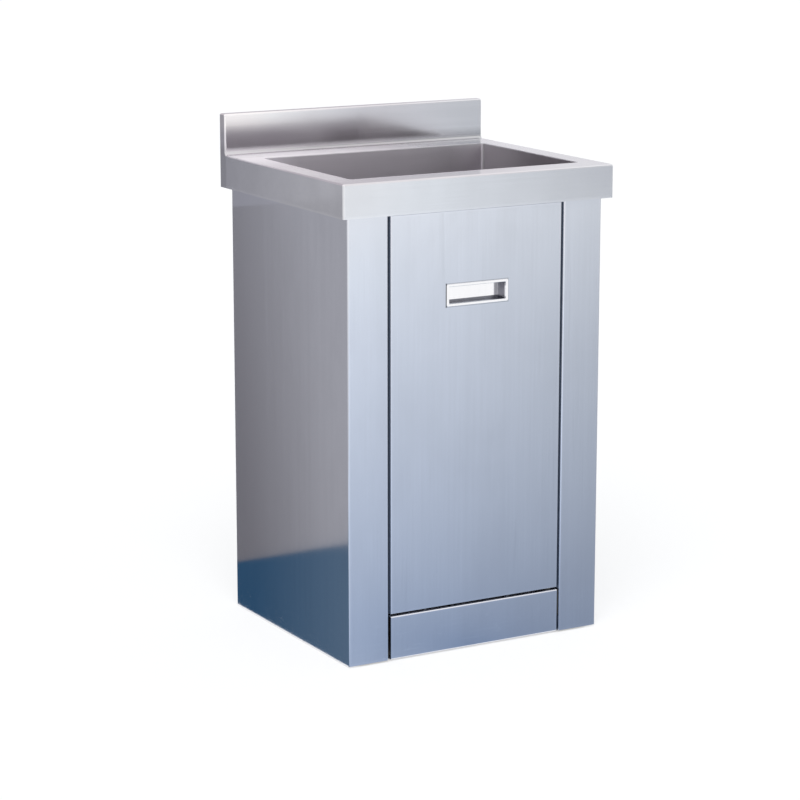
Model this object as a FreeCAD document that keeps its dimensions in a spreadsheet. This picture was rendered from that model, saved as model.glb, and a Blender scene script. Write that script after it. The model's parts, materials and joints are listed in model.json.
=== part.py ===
"""Free-standing stainless steel scrub sink: a cabinet with one door under a deep bowl.

Millimetres, +Z up, front towards -Y. The origin is on the floor under the middle of the sink top.
"""
import FreeCAD, Part
import Sketcher
import math
import os
import re

# Driving sizes in millimetres, draft in degrees
SIZES = {
    # sink top
    "top_width": 510,
    "top_depth": 440,
    "deck_height": 800,
    "top_gauge": 1.5,
    "top_bend": 3,
    "apron_height": 56,
    "apron_lip": 11,
    "splash_height": 70,
    "splash_thickness": 18,
    "splash_cove": 6,
    "side_overhang": 14.5,
    "front_overhang": 13,
    "rear_overhang": 12,
    # bowl
    "front_rim": 47,
    "side_rim": 38,
    "rear_deck": 69,
    "bowl_depth": 230,
    "bowl_gauge": 1.2,
    "bowl_corner": 6,
    "bowl_floor_bend": 4,
    "bowl_flange": 8,
    "bowl_fall": 8,
    "drain_flat": 132,
    "sound_pad_length": 180,
    "sound_pad_height": 120,
    "sound_pad_thickness": 3,
    # cabinet
    "panel_gauge": 1.2,
    "panel_bend": 2.5,
    "panel_fit": 0.3,
    "floor_gap": 3,
    "stile_width": 74,
    "post_return": 40,
    "post_lip": 15,
    "post_relief": 5,
    "rear_flange": 20,
    "top_flange": 12,
    "bottom_flange": 20,
    "kick_height": 77,
    "kick_flange": 36,
    "kick_foot": 20,
    "kick_screw_edge_gap": 6,
    "shelf_front_gap": 2.4,
    "rail_flange": 20,
    "rail_clearance": 1.6,
    "stop_lip": 22,
    "rear_rail_height": 50,
    "rear_rail_depth": 25,
    "cleat_leg": 22,
    # door
    "door_gap": 4.5,
    "door_sill_gap": 4,
    "door_top_gap": 1.5,
    "door_thickness": 22,
    "door_gauge": 1,
    "door_bend": 1.5,
    "liner_flange": 12,
    "stiffener_width": 70,
    "stiffener_end_gap": 40,
    # door hinge
    "swing_clearance": 0.7,
    "running_clearance": 0.05,
    "pin_radius": 4,
    "pin_engagement": 12,
    "pin_head": 2.5,
    "pin_head_height": 2,
    "pin_passing_clearance": 0.5,
    "collar_radius": 7,
    "bush_wall": 2,
    "bush_flange": 2,
    "bush_flange_thickness": 1,
    "bush_length": 11,
    "hinge_plate": 3,
    "hinge_plate_half": 9,
    "hinge_plate_reach": 16,
    "hinge_bracket_drop": 45,
    "hinge_block_thickness": 3,
    # recessed pull
    "pull_width": 117,
    "pull_height": 37,
    "pull_middle": 604,
    "pull_border": 4.5,
    "pull_flange": 1.6,
    "pull_depth": 18.5,
    "pull_gauge": 1,
    "pull_draft": 10,
    "pull_corner": 2.5,
    "pull_edge": 0.7,
    "pull_fit": 0.3,
    "retainer_border": 5,
    "retainer_thickness": 1.5,
    # magnetic catch and bumpers
    "catch_level": 430,
    "catch_width": 16,
    "catch_half": 23,
    "catch_gap": 0.3,
    "catch_screw_spacing": 24,
    "magnet_width": 8,
    "magnet_half": 14,
    "magnet_depth": 8,
    "strike_thickness": 1.5,
    "strike_half": 32,
    "strike_edge_gap": 2,
    "strike_screw_edge_gap": 5,
    "strike_screw_end_gap": 4.5,
    "bumper_radius": 5,
    "bumper_spacing": 200,
    "bumper_gap": 0.3,
    # drain and strainer basket
    "drain_hole": 45,
    "drain_clearance": 1,
    "drain_flange": 57,
    "drain_gauge": 1.5,
    "drain_cup_depth": 48,
    "neck_radius": 24,
    "neck_length": 22,
    "gasket_thickness": 3,
    "lock_nut_width": 12,
    "lock_nut_height": 9,
    "thread_clearance": 0.3,
    "stopper_radius": 27,
    "stopper_thickness": 4,
    "basket_radius": 39,
    "basket_wall": 1,
    "basket_height": 30,
    "basket_rim": 2.5,
    "basket_hole": 2.6,
    "basket_inner_ring": 17,
    "basket_outer_ring": 30,
    "post_radius": 3.5,
    "knob_radius": 10,
    "knob_height": 7,
    "knob_stem": 24,
    # trap and waste
    "pipe_radius": 21,
    "pipe_wall": 2,
    "pipe_bend": 44,
    "tail_length": 60,
    "tail_collar": 3,
    "trap_leg": 32,
    "trap_reach": 94,
    "trap_rise": 26,
    "elbow_rise": 60,
    "spigot_radius": 20,
    "spigot_shoulder_gap": 1.5,
    "spigot_end_gap": 0.5,
    "slip_clearance": 0.3,
    "nut_wall": 7,
    "nut_height": 26,
    "tail_nut_grip": 14,
    "tail_nut_lip": 4,
    "waste_hole_clearance": 4,
    "rosette_width": 16,
    "rosette_thickness": 2,
    # levelling feet
    "foot_side_inset": 34,
    "foot_front_inset": 32,
    "foot_rear_inset": 42,
    "gusset_half": 27,
    "gusset_reach": 20,
    "gusset_thickness": 3,
    "stem_radius": 5,
    "stem_length": 50,
    "stem_clearance": 0.5,
    "foot_nut_radius": 9,
    "foot_nut_height": 8,
    "pad_radius": 13,
    "pad_thickness": 2.5,
    # fasteners
    "screw_radius": 2,
    "screw_head_radius": 4,
    "screw_head_height": 2,
    "screw_length": 6,
    "screw_clearance": 0.1,
    "rivet_spacing": 22,
    "stud_radius": 2.5,
    "stud_length": 15,
    "stud_edge_gap": 7,
    "stud_spacing": 300,
    "deck_nut_radius": 4.4,
    "deck_nut_height": 4,
}

# Places worked out from the driving sizes
PLACES = {
    "top_side": "top_width / 2",
    "top_front": "-1 * top_depth / 2",
    "top_back": "top_depth / 2",
    "deck_under": "deck_height - top_gauge",
    "apron_bottom": "deck_height - apron_height",
    "splash_face": "top_back - splash_thickness",
    "splash_top": "deck_height + splash_height",
    "bowl_side": "top_side - side_rim",
    "bowl_front": "top_front + front_rim",
    "bowl_back": "splash_face - rear_deck",
    "bowl_middle": "(bowl_front + bowl_back) / 2",
    "bowl_floor": "deck_height - bowl_depth",
    "drain_level": "bowl_floor - bowl_fall",
    "cabinet_side": "top_side - side_overhang",
    "cabinet_front": "top_front + front_overhang",
    "cabinet_back": "top_back - rear_overhang",
    "side_inner": "cabinet_side - panel_gauge",
    "back_inner": "cabinet_back - 2 * panel_gauge",
    "post_back": "cabinet_front + post_return",
    "jamb": "cabinet_side - stile_width",
    "rail_back": "bowl_front - bowl_gauge - rail_clearance",
    "door_side": "jamb - door_gap",
    "door_bottom": "kick_height + door_sill_gap",
    "door_top": "apron_bottom - door_top_gap",
    "door_back": "cabinet_front + door_thickness",
    "swing_gap": "door_gap - swing_clearance",
    "hinge_setback": "((door_thickness / 2) ^ 2 - swing_gap ^ 2) / (2 * swing_gap)",
    "hinge_x": "door_side - hinge_setback",
    "hinge_y": "cabinet_front + door_thickness / 2",
    "bush_bore": "pin_radius + running_clearance",
    "bush_radius": "bush_bore + bush_wall",
    "pin_passage": "pin_radius + pin_passing_clearance",
    "lower_plate_top": "kick_height - panel_gauge",
    "upper_plate_bottom": "apron_bottom + panel_gauge",
    "pull_opening_side": "pull_width / 2 - pull_border",
    "pull_opening_rise": "pull_height / 2 - pull_border",
    "catch_front": "door_back + strike_thickness + catch_gap",
    "cup_radius": "drain_hole - drain_clearance",
    "cup_bottom": "drain_level - drain_cup_depth",
    "cup_floor": "cup_bottom + drain_gauge",
    "basket_bottom": "cup_floor + stopper_thickness",
    "neck_end": "cup_bottom - neck_length",
    "gasket_top": "drain_level - bowl_gauge",
    "gasket_bottom": "gasket_top - gasket_thickness",
    "pipe_bore": "pipe_radius - pipe_wall",
    "tail_end": "neck_end - tail_length",
    "trap_bottom": "tail_end - trap_leg - pipe_bend",
    "trap_out": "bowl_middle + trap_reach",
    "trap_top": "trap_bottom + pipe_bend + trap_rise",
    "waste_level": "trap_top + elbow_rise",
    "spigot_start": "cabinet_back + spigot_shoulder_gap",
    "spigot_end": "top_back - spigot_end_gap",
    "foot_x": "cabinet_side - foot_side_inset",
    "foot_front": "post_back + foot_front_inset",
    "foot_rear": "back_inner - foot_rear_inset",
    "gusset_bottom": "floor_gap + panel_gauge",
    "gusset_top": "gusset_bottom + gusset_thickness",
    "stud_x": "cabinet_side - stud_edge_gap",
    "screw_hole": "screw_radius + screw_clearance",
    "shelf_top": "kick_height + panel_gauge",
}

# How near two places must be to count as the same
TOLERANCE = 1e-3

V = FreeCAD.Vector
doc = FreeCAD.newDocument("scrub_sink")
sheet = doc.addObject("Spreadsheet::Sheet", "dims")
for row, (name, size) in enumerate(SIZES.items(), 1):
    sheet.set(f"A{row}", name.replace("_", " "))
    sheet.set(f"B{row}", str(size))
    sheet.setAlias(f"B{row}", name)
doc.recompute()

parts = []


def formula(text):
    """The document expression for a size or place written in the words of SIZES and PLACES."""
    def spell_out(match):
        word = match.group(0)
        if word in PLACES:
            return "(" + formula(PLACES[word]) + ")"
        if word in SIZES:
            return "dims." + word
        return word
    return re.sub(r"[a-z_]+", spell_out, text)


def value(text):
    """The present number of a size or place."""
    number = sheet.evalExpression(formula(text))
    return float(getattr(number, "Value", number))


def bind(item, prop, text):
    """Tie a property to the sheet."""
    item.setExpression(prop, formula(text))


def place(item, x="0", y="0", z="0"):
    """Tie an object's position to the sheet."""
    bind(item, "Placement.Base.x", x)
    bind(item, "Placement.Base.y", y)
    bind(item, "Placement.Base.z", z)


def keep(item, label):
    """Name a finished sub-part and list it for export."""
    item.Label = label
    parts.append(item)
    return item


def new_body(label):
    """An empty body, listed under its own name."""
    return keep(doc.addObject("PartDesign::Body", label), label)


def side(sign, text):
    """A place on the left (-1) or right (1) of the middle."""
    return f"{sign} * ({text})"


def rectangle(u_low, u_high, v_low, v_high):
    """The four corners of a rectangle."""
    return [(u_low, v_low), (u_high, v_low), (u_high, v_high), (u_low, v_high)]


def centred(half_u, v_low, v_high):
    """A rectangle that is symmetrical about the sketch's upright axis."""
    return rectangle(side(-1, half_u), half_u, v_low, v_high)


def hexagon(u, v, radius):
    """The corners of a regular hexagon with the given corner radius."""
    corners = []
    for step in range(6):
        angle = 60 * step
        corners.append((f"{u} + ({radius}) * cos({angle})", f"{v} + ({radius}) * sin({angle})"))
    return corners


def sketch_on(body, plane, level):
    """An empty sketch on one of the body's own planes, moved along the plane's normal."""
    sketch = body.newObject("Sketcher::SketchObject", body.Name + "_sketch")
    support = next(item for item in body.Origin.OriginFeatures if item.Role == plane + "_Plane")
    sketch.AttachmentSupport = [(support, "")]
    sketch.MapMode = "FlatFace"
    bind(sketch, "AttachmentOffset.Base.z", level)
    return sketch


def fix_point(sketch, geometry, point, u, v):
    """Hold one point of a sketch at the given place."""
    for kind, text in (("DistanceX", u), ("DistanceY", v)):
        held = Sketcher.Constraint(kind, -1, 1, geometry, point, value(text))
        index = sketch.addConstraint(held)
        bind(sketch, f"Constraints[{index}]", text)


def draw_outline(sketch, corners):
    """A closed outline of straight lines through the corners."""
    spots = [V(value(u), value(v), 0) for u, v in corners]
    lines = []
    for start, end in zip(spots, spots[1:] + spots[:1]):
        lines.append(sketch.addGeometry(Part.LineSegment(start, end)))
    for line, following in zip(lines, lines[1:] + lines[:1]):
        sketch.addConstraint(Sketcher.Constraint("Coincident", line, 2, following, 1))
    for line, (u, v) in zip(lines, corners):
        fix_point(sketch, line, 1, u, v)


def draw_circle(sketch, u, v, radius):
    """A circle with its centre held at the given place."""
    circle = sketch.addGeometry(Part.Circle(V(value(u), value(v), 0), V(0, 0, 1), value(radius)))
    index = sketch.addConstraint(Sketcher.Constraint("Radius", circle, value(radius)))
    bind(sketch, f"Constraints[{index}]", radius)
    fix_point(sketch, circle, 3, u, v)


def draw_bent_line(sketch, corners, radius):
    """A run of square legs through the corners, each corner rounded to the bend radius."""
    spots = [V(value(u), value(v), 0) for u, v in corners]
    starts = [corners[0]]
    ends = []
    for index in range(1, len(corners) - 1):
        into = (spots[index] - spots[index - 1]).normalize()
        out = (spots[index + 1] - spots[index]).normalize()
        u, v = corners[index]
        ends.append((f"{u} - {round(into.x)} * {radius}", f"{v} - {round(into.y)} * {radius}"))
        starts.append((f"{u} + {round(out.x)} * {radius}", f"{v} + {round(out.y)} * {radius}"))
    ends.append(corners[-1])
    legs = []
    for start, end in zip(starts, ends):
        run = Part.LineSegment(V(value(start[0]), value(start[1]), 0), V(value(end[0]), value(end[1]), 0))
        leg = sketch.addGeometry(run)
        fix_point(sketch, leg, 1, *start)
        fix_point(sketch, leg, 2, *end)
        legs.append((leg, run))
    for index, ((leg, run), (following, next_run)) in enumerate(zip(legs, legs[1:]), 1):
        back = (run.StartPoint - run.EndPoint).normalize()
        onward = (next_run.EndPoint - next_run.StartPoint).normalize()
        inward = back + onward
        middle = spots[index] + inward * (value(radius) * (1 - math.sqrt(0.5)))
        arc = sketch.addGeometry(Part.Arc(run.EndPoint, middle, next_run.StartPoint))
        first = 1 if sketch.getPoint(arc, 1).isEqual(run.EndPoint, TOLERANCE) else 2
        sketch.addConstraint(Sketcher.Constraint("Coincident", leg, 2, arc, first))
        sketch.addConstraint(Sketcher.Constraint("Coincident", following, 1, arc, 3 - first))
        bend = sketch.addConstraint(Sketcher.Constraint("Radius", arc, value(radius)))
        bind(sketch, f"Constraints[{bend}]", radius)


def prism_sketch(body, plane, low, high, outlines, circles):
    """A sketch at the end of a prism from which its normal points into the prism."""
    level = f"-1 * ({high})" if plane == "XZ" else low
    sketch = sketch_on(body, plane, level)
    for corners in outlines:
        draw_outline(sketch, corners)
    for u, v, radius in circles:
        draw_circle(sketch, u, v, radius)
    return sketch


def add_prism(body, plane, low, high, outlines=(), circles=()):
    """Add a straight prism between two levels along the plane's own axis."""
    sketch = prism_sketch(body, plane, low, high, outlines, circles)
    pad = body.newObject("PartDesign::Pad", body.Name + "_pad")
    pad.Profile = sketch
    bind(pad, "Length", f"({high}) - ({low})")
    doc.recompute()
    return pad


def cut_prism(body, plane, low, high, outlines=(), circles=()):
    """Cut a straight prism between two levels along the plane's own axis."""
    before = body.Shape.Volume
    sketch = prism_sketch(body, plane, low, high, outlines, circles)
    pocket = body.newObject("PartDesign::Pocket", body.Name + "_pocket")
    pocket.Profile = sketch
    pocket.Reversed = True
    bind(pocket, "Length", f"({high}) - ({low})")
    doc.recompute()
    if body.Shape.Volume >= before:
        raise RuntimeError(f"a cut in {body.Label} removed nothing")
    return pocket


def edges_at(body, **planes):
    """The body's edges that lie in all the given planes, such as x="top_side", z="deck_height"."""
    found = []
    for index, edge in enumerate(body.Tip.Shape.Edges, 1):
        box = edge.BoundBox
        spans = {"x": (box.XMin, box.XMax), "y": (box.YMin, box.YMax), "z": (box.ZMin, box.ZMax)}
        gaps = [abs(end - value(text)) for axis, text in planes.items() for end in spans[axis]]
        if max(gaps) < TOLERANCE:
            found.append(f"Edge{index}")
    return found


def round_edges(body, radius, edges):
    """Round the named edges of a body."""
    if not edges:
        raise RuntimeError(f"no edge to round in {body.Label}")
    fillet = body.newObject("PartDesign::Fillet", body.Name + "_fillet")
    fillet.Base = (fillet.BaseFeature, edges)
    bind(fillet, "Radius", radius)
    doc.recompute()
    return fillet


def turned(label, x, y, profile):
    """A body turned about an upright axis at x, y from a profile of radius and height."""
    body = new_body(label)
    place(body, x, y)
    sketch = sketch_on(body, "XZ", "0")
    draw_outline(sketch, profile)
    revolution = body.newObject("PartDesign::Revolution", body.Name + "_turning")
    revolution.Profile = sketch
    revolution.ReferenceAxis = (sketch, ["V_Axis"])
    revolution.Angle = 360
    doc.recompute()
    return body


def ring(label, x, y, inner, outer, low, high):
    """A plain turned ring."""
    return turned(label, x, y, rectangle(inner, outer, low, high))


def box(label, x_low, x_high, y_low, y_high, z_low, z_high):
    """A plain rectangular block, not yet listed."""
    block = doc.addObject("Part::Box", label)
    bind(block, "Length", f"({x_high}) - ({x_low})")
    bind(block, "Width", f"({y_high}) - ({y_low})")
    bind(block, "Height", f"({z_high}) - ({z_low})")
    place(block, x_low, y_low, z_low)
    return block


def cylinder(label, start, direction, radius, length):
    """A plain cylinder from a start point along a direction, not yet listed."""
    rod = doc.addObject("Part::Cylinder", label)
    rod.Placement.Rotation = FreeCAD.Rotation(V(0, 0, 1), V(*direction))
    bind(rod, "Radius", radius)
    bind(rod, "Height", length)
    place(rod, *start)
    return rod


def screw(label, seat, direction, length="screw_length"):
    """A pan-head screw whose head bears on the seat and whose shank runs along the direction."""
    back = [-step for step in direction]
    union = doc.addObject("Part::Fuse", label)
    union.Base = cylinder(label + "_shank", seat, direction, "screw_radius", length)
    union.Tool = cylinder(label + "_head", seat, back, "screw_head_radius", "screw_head_height")
    return union


def group(label, members):
    """Several alike pieces kept together as one sub-part."""
    compound = doc.addObject("Part::Compound", label)
    compound.Links = members
    return keep(compound, label)


def screws(label, seats, direction):
    """A set of alike screws."""
    members = [screw(f"{label}_{index}", seat, direction) for index, seat in enumerate(seats, 1)]
    return group(label, members)


# Places of the fasteners, shared by the screws and the holes that they pass through
BACK_SCREW_X = [side(sign, "cabinet_side - rear_flange / 2") for sign in (-1, 1)]
BACK_SCREW_Z = [f"floor_gap + (deck_under - floor_gap) * {step} / 4" for step in (1, 2, 3)]
BACK_SCREWS = [(x, z) for x in BACK_SCREW_X for z in BACK_SCREW_Z]
CLEAT_SCREW_X = [side(sign, "side_inner - cleat_leg / 2") for sign in (-1, 1)]
CLEAT_SCREWS = [(x, y) for x in CLEAT_SCREW_X for y in ("foot_front", "foot_rear")]
KICK_SCREW_Y = "cabinet_front + kick_flange - kick_screw_edge_gap"
KICK_SCREWS = [(side(sign, "door_side / 2"), KICK_SCREW_Y) for sign in (-1, 1)]
HINGE_SCREWS = [("hinge_y", f"lower_plate_top - hinge_bracket_drop * {step} / 8") for step in (4, 6)]
CATCH_SCREW_Y = "(catch_front + magnet_depth + post_back) / 2"
CATCH_SCREWS = [(CATCH_SCREW_Y, f"catch_level + {sign} * catch_screw_spacing / 2") for sign in (-1, 1)]
STRIKE_SCREW_X = "-1 * door_side + strike_edge_gap + strike_screw_edge_gap"
STRIKE_SCREW_RISE = "(strike_half - strike_screw_end_gap)"
STRIKE_SCREWS = [(STRIKE_SCREW_X, f"catch_level + {sign} * {STRIKE_SCREW_RISE}") for sign in (-1, 1)]
STUD_X = [side(sign, "stud_x") for sign in (-1, 1)]
STUDS = [(x, f"bowl_middle + {end} * stud_spacing / 2") for x in STUD_X for end in (-1, 1)]
RIVETS = [(f"hinge_x + {sign} * rivet_spacing / 2", "hinge_y") for sign in (-1, 1)]
FEET = {
    "front_left": (side(-1, "foot_x"), "foot_front"),
    "front_right": ("foot_x", "foot_front"),
    "rear_left": (side(-1, "foot_x"), "foot_rear"),
    "rear_right": ("foot_x", "foot_rear"),
}


def make_sink_top():
    """Deck, apron with its turned-in lip and hollow splashback, folded from one sheet."""
    body = new_body("sink_top")
    inside = "top_side - top_gauge"
    rear_inside = "top_back - top_gauge"
    add_prism(body, "XY", "apron_bottom", "deck_height", [centred("top_side", "top_front", "top_back")])
    add_prism(body, "XY", "deck_height", "splash_top", [centred("top_side", "splash_face", "top_back")])
    hollow = centred(inside, "top_front + top_gauge", rear_inside)
    cut_prism(body, "XY", "apron_bottom + top_gauge", "deck_under", [hollow])
    mouth = centred("top_side - apron_lip", "top_front + apron_lip", rear_inside)
    cut_prism(body, "XY", "apron_bottom", "apron_bottom + top_gauge", [mouth])
    splash_hollow = centred(inside, "splash_face + top_gauge", rear_inside)
    cut_prism(body, "XY", "deck_under", "splash_top - top_gauge", [splash_hollow])
    cut_prism(body, "XY", "deck_under", "deck_height", [centred("bowl_side", "bowl_front", "bowl_back")])
    corners = []
    for sign in (-1, 1):
        for end in ("bowl_front", "bowl_back"):
            corners += edges_at(body, x=side(sign, "bowl_side"), y=end)
    round_edges(body, "bowl_corner", corners)
    round_edges(body, "splash_cove", edges_at(body, y="splash_face", z="deck_height"))
    bends = edges_at(body, y="top_front", z="deck_height")
    bends += edges_at(body, y="splash_face", z="splash_top")
    bends += edges_at(body, y="top_back", z="splash_top")
    for sign in (-1, 1):
        flank = side(sign, "top_side")
        bends += edges_at(body, x=flank, z="deck_height")
        bends += edges_at(body, x=flank, z="splash_top")
        bends += edges_at(body, x=flank, y="top_front")
        bends += edges_at(body, x=flank, y="splash_face")
    round_edges(body, "top_bend", bends)


def make_bowl():
    """Folded bowl with a flange under the deck and a floor that falls to the drain."""
    body = new_body("bowl")
    outer_side = "bowl_side + bowl_gauge"
    outer_front = "bowl_front - bowl_gauge"
    outer_back = "bowl_back + bowl_gauge"
    mouth = centred("bowl_side", "bowl_front", "bowl_back")
    outside = centred(outer_side, outer_front, outer_back)
    add_prism(body, "XY", "bowl_floor - bowl_gauge", "deck_under", [outside])
    cut_prism(body, "XY", "bowl_floor", "deck_under", [mouth])
    for radius, wall, ends in (
        ("bowl_corner", "bowl_side", ("bowl_front", "bowl_back")),
        ("bowl_corner + bowl_gauge", outer_side, (outer_front, outer_back)),
    ):
        corners = []
        for sign in (-1, 1):
            for end in ends:
                corners += edges_at(body, x=side(sign, wall), y=end)
        round_edges(body, radius, corners)
    round_edges(body, "bowl_floor_bend", edges_at(body, z="bowl_floor"))
    flange = centred(
        f"{outer_side} + bowl_flange", f"{outer_front} - bowl_flange", f"{outer_back} + bowl_flange")
    add_prism(body, "XY", "deck_under - bowl_gauge", "deck_under", [flange, mouth])
    add_fall(body, "PartDesign::AdditiveLoft", "bowl_gauge")
    add_fall(body, "PartDesign::SubtractiveLoft", "0")
    cut_prism(body, "XY", "cup_bottom", "bowl_floor", circles=[("0", "bowl_middle", "drain_hole")])


def add_fall(body, kind, drop):
    """The shallow inverted pyramid from the bowl's floor margin down to the flat round the drain."""
    margin = "bowl_corner"
    top = sketch_on(body, "XY", f"bowl_floor - {drop}")
    draw_outline(top, centred(f"bowl_side - {margin}", f"bowl_front + {margin}", f"bowl_back - {margin}"))
    flat = sketch_on(body, "XY", f"drain_level - {drop}")
    half = "drain_flat / 2"
    draw_outline(flat, centred(half, f"bowl_middle - {half}", f"bowl_middle + {half}"))
    loft = body.newObject(kind, body.Name + "_fall")
    loft.Profile = top
    loft.Sections = [flat]
    loft.Ruled = True
    doc.recompute()


def make_sound_pads():
    """Rubber sheets glued to the outside of the bowl's end walls."""
    wall = "bowl_side + bowl_gauge"
    face = f"{wall} + sound_pad_thickness"
    pads = []
    for hand, low, high in (("left", side(-1, face), side(-1, wall)), ("right", wall, face)):
        pads.append(box(
            f"{hand}_sound_pad",
            low, high,
            "bowl_middle - sound_pad_length / 2", "bowl_middle + sound_pad_length / 2",
            "deck_height - bowl_depth / 2 - sound_pad_height / 2",
            "deck_height - bowl_depth / 2 + sound_pad_height / 2",
        ))
    group("bowl_sound_pads", pads)


def make_deck_fixings():
    """Studs welded under the deck, each with a nut under the side panel's top flange."""
    nut_top = "deck_under - panel_gauge"
    studs = []
    nuts = new_body("deck_nuts")
    nuts.AllowCompound = True
    for index, (x, y) in enumerate(STUDS, 1):
        root = (x, y, "deck_under")
        studs.append(cylinder(f"deck_stud_{index}", root, (0, 0, -1), "stud_radius", "stud_length"))
    group("deck_studs", studs)
    hexes = [hexagon(x, y, "deck_nut_radius") for x, y in STUDS]
    bores = [(x, y, "stud_radius + running_clearance") for x, y in STUDS]
    add_prism(nuts, "XY", nut_top + " - deck_nut_height", nut_top, hexes, bores)


def make_side_panel(label, sign, holes):
    """Side wall folded round into the front stile and door jamb, flanged at rear, top and bottom."""
    body = new_body(label)
    gauge = "panel_gauge"
    path = [
        ("jamb + post_lip", "post_back"),
        ("jamb", "post_back"),
        ("jamb", "cabinet_front"),
        ("cabinet_side", "cabinet_front"),
        ("cabinet_side", "cabinet_back"),
        ("cabinet_side - rear_flange", "cabinet_back"),
        ("cabinet_side - rear_flange", f"cabinet_back - {gauge}"),
        ("side_inner", f"cabinet_back - {gauge}"),
        ("side_inner", f"cabinet_front + {gauge}"),
        (f"jamb + {gauge}", f"cabinet_front + {gauge}"),
        (f"jamb + {gauge}", f"post_back - {gauge}"),
        ("jamb + post_lip", f"post_back - {gauge}"),
    ]
    add_prism(body, "XY", "floor_gap", "deck_under", [[(side(sign, x), y) for x, y in path]])
    for low, high, reach in (
        ("floor_gap", "gusset_bottom", "bottom_flange"),
        (f"deck_under - {gauge}", "deck_under", "top_flange"),
    ):
        edge = f"cabinet_side - {reach}"
        flange = rectangle(side(sign, edge), side(sign, "cabinet_side"), "cabinet_front", "cabinet_back")
        add_prism(body, "XY", low, high, [flange])
    flange_front = "bowl_front - bowl_gauge - bowl_flange - panel_fit"
    for low, front in (
        ("bowl_floor - bowl_gauge - post_relief", "rail_back"),
        ("deck_under - bowl_gauge - panel_fit", flange_front),
    ):
        relief = rectangle(side(sign, "jamb"), side(sign, "jamb + post_lip"), front, "post_back")
        cut_prism(body, "XY", low, "deck_under", [relief])
    studs = [(x, y, "stud_radius + screw_clearance") for x, y in STUDS if x == STUD_X[(sign + 1) // 2]]
    cut_prism(body, "XY", f"deck_under - {gauge}", "deck_under", circles=studs)
    back = [(x, z, "screw_hole") for x, z in BACK_SCREWS if x == BACK_SCREW_X[(sign + 1) // 2]]
    cut_prism(body, "XZ", f"cabinet_back - {gauge}", "cabinet_back", circles=back)
    low, high = sorted((side(sign, "jamb"), side(sign, f"jamb + {gauge}")), key=value)
    cut_prism(body, "YZ", low, high, circles=[(y, z, "screw_hole") for y, z in holes])
    bends = edges_at(body, x=side(sign, "cabinet_side"), y="cabinet_front")
    bends += edges_at(body, x=side(sign, "cabinet_side"), y="cabinet_back")
    bends += edges_at(body, x=side(sign, "jamb"), y="cabinet_front")
    round_edges(body, "panel_bend", bends)


def make_back():
    """Back panel between the rear flanges, its screws and the rail that stiffens its top edge."""
    body = new_body("back_panel")
    wide = "side_inner - panel_fit"
    face = [centred(wide, "gusset_bottom", "deck_under - panel_gauge")]
    add_prism(body, "XZ", "back_inner", "back_inner + panel_gauge", face)
    holes = [("0", "waste_level", "pipe_radius + waste_hole_clearance")]
    holes += [(x, z, "screw_hole") for x, z in BACK_SCREWS]
    cut_prism(body, "XZ", "back_inner", "back_inner + panel_gauge", circles=holes)
    screws("back_screws", [(x, "back_inner", z) for x, z in BACK_SCREWS], (0, 1, 0))
    rail = new_body("rear_rail")
    angle = [
        ("back_inner", "deck_under"),
        ("back_inner - rear_rail_depth", "deck_under"),
        ("back_inner - rear_rail_depth", "deck_under - panel_gauge"),
        ("back_inner - panel_gauge", "deck_under - panel_gauge"),
        ("back_inner - panel_gauge", "deck_under - rear_rail_height"),
        ("back_inner", "deck_under - rear_rail_height"),
    ]
    reach = "cabinet_side - top_flange - panel_fit"
    add_prism(rail, "YZ", side(-1, reach), reach, [angle])


def make_front_rail():
    """Rail behind the apron, with a lip that the closed door stops against."""
    body = new_body("front_rail")
    gauge = "panel_gauge"
    section = [
        ("cabinet_front + rail_flange", "deck_under"),
        ("cabinet_front", "deck_under"),
        ("cabinet_front", "apron_bottom"),
        (f"rail_back - {gauge}", "apron_bottom"),
        (f"rail_back - {gauge}", "apron_bottom - stop_lip"),
        ("rail_back", "apron_bottom - stop_lip"),
        ("rail_back", "upper_plate_bottom"),
        (f"cabinet_front + {gauge}", "upper_plate_bottom"),
        (f"cabinet_front + {gauge}", f"deck_under - {gauge}"),
        ("cabinet_front + rail_flange", f"deck_under - {gauge}"),
    ]
    add_prism(body, "YZ", side(-1, "jamb"), "jamb", [section])
    holes = [("hinge_x", "hinge_y", "pin_passage")]
    holes += [(x, y, "screw_hole") for x, y in RIVETS]
    cut_prism(body, "XY", "apron_bottom", "upper_plate_bottom", circles=holes)


def make_bumpers():
    """Rubber buttons on the stop lip that meet the closed door."""
    face = "rail_back - panel_gauge"
    buttons = []
    for index, sign in enumerate((-1, 1), 1):
        seat = (side(sign, "bumper_spacing / 2"), face, "apron_bottom - stop_lip / 2")
        length = f"{face} - door_back - bumper_gap"
        buttons.append(cylinder(f"door_bumper_{index}", seat, (0, -1, 0), "bumper_radius", length))
    group("door_bumpers", buttons)


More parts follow.
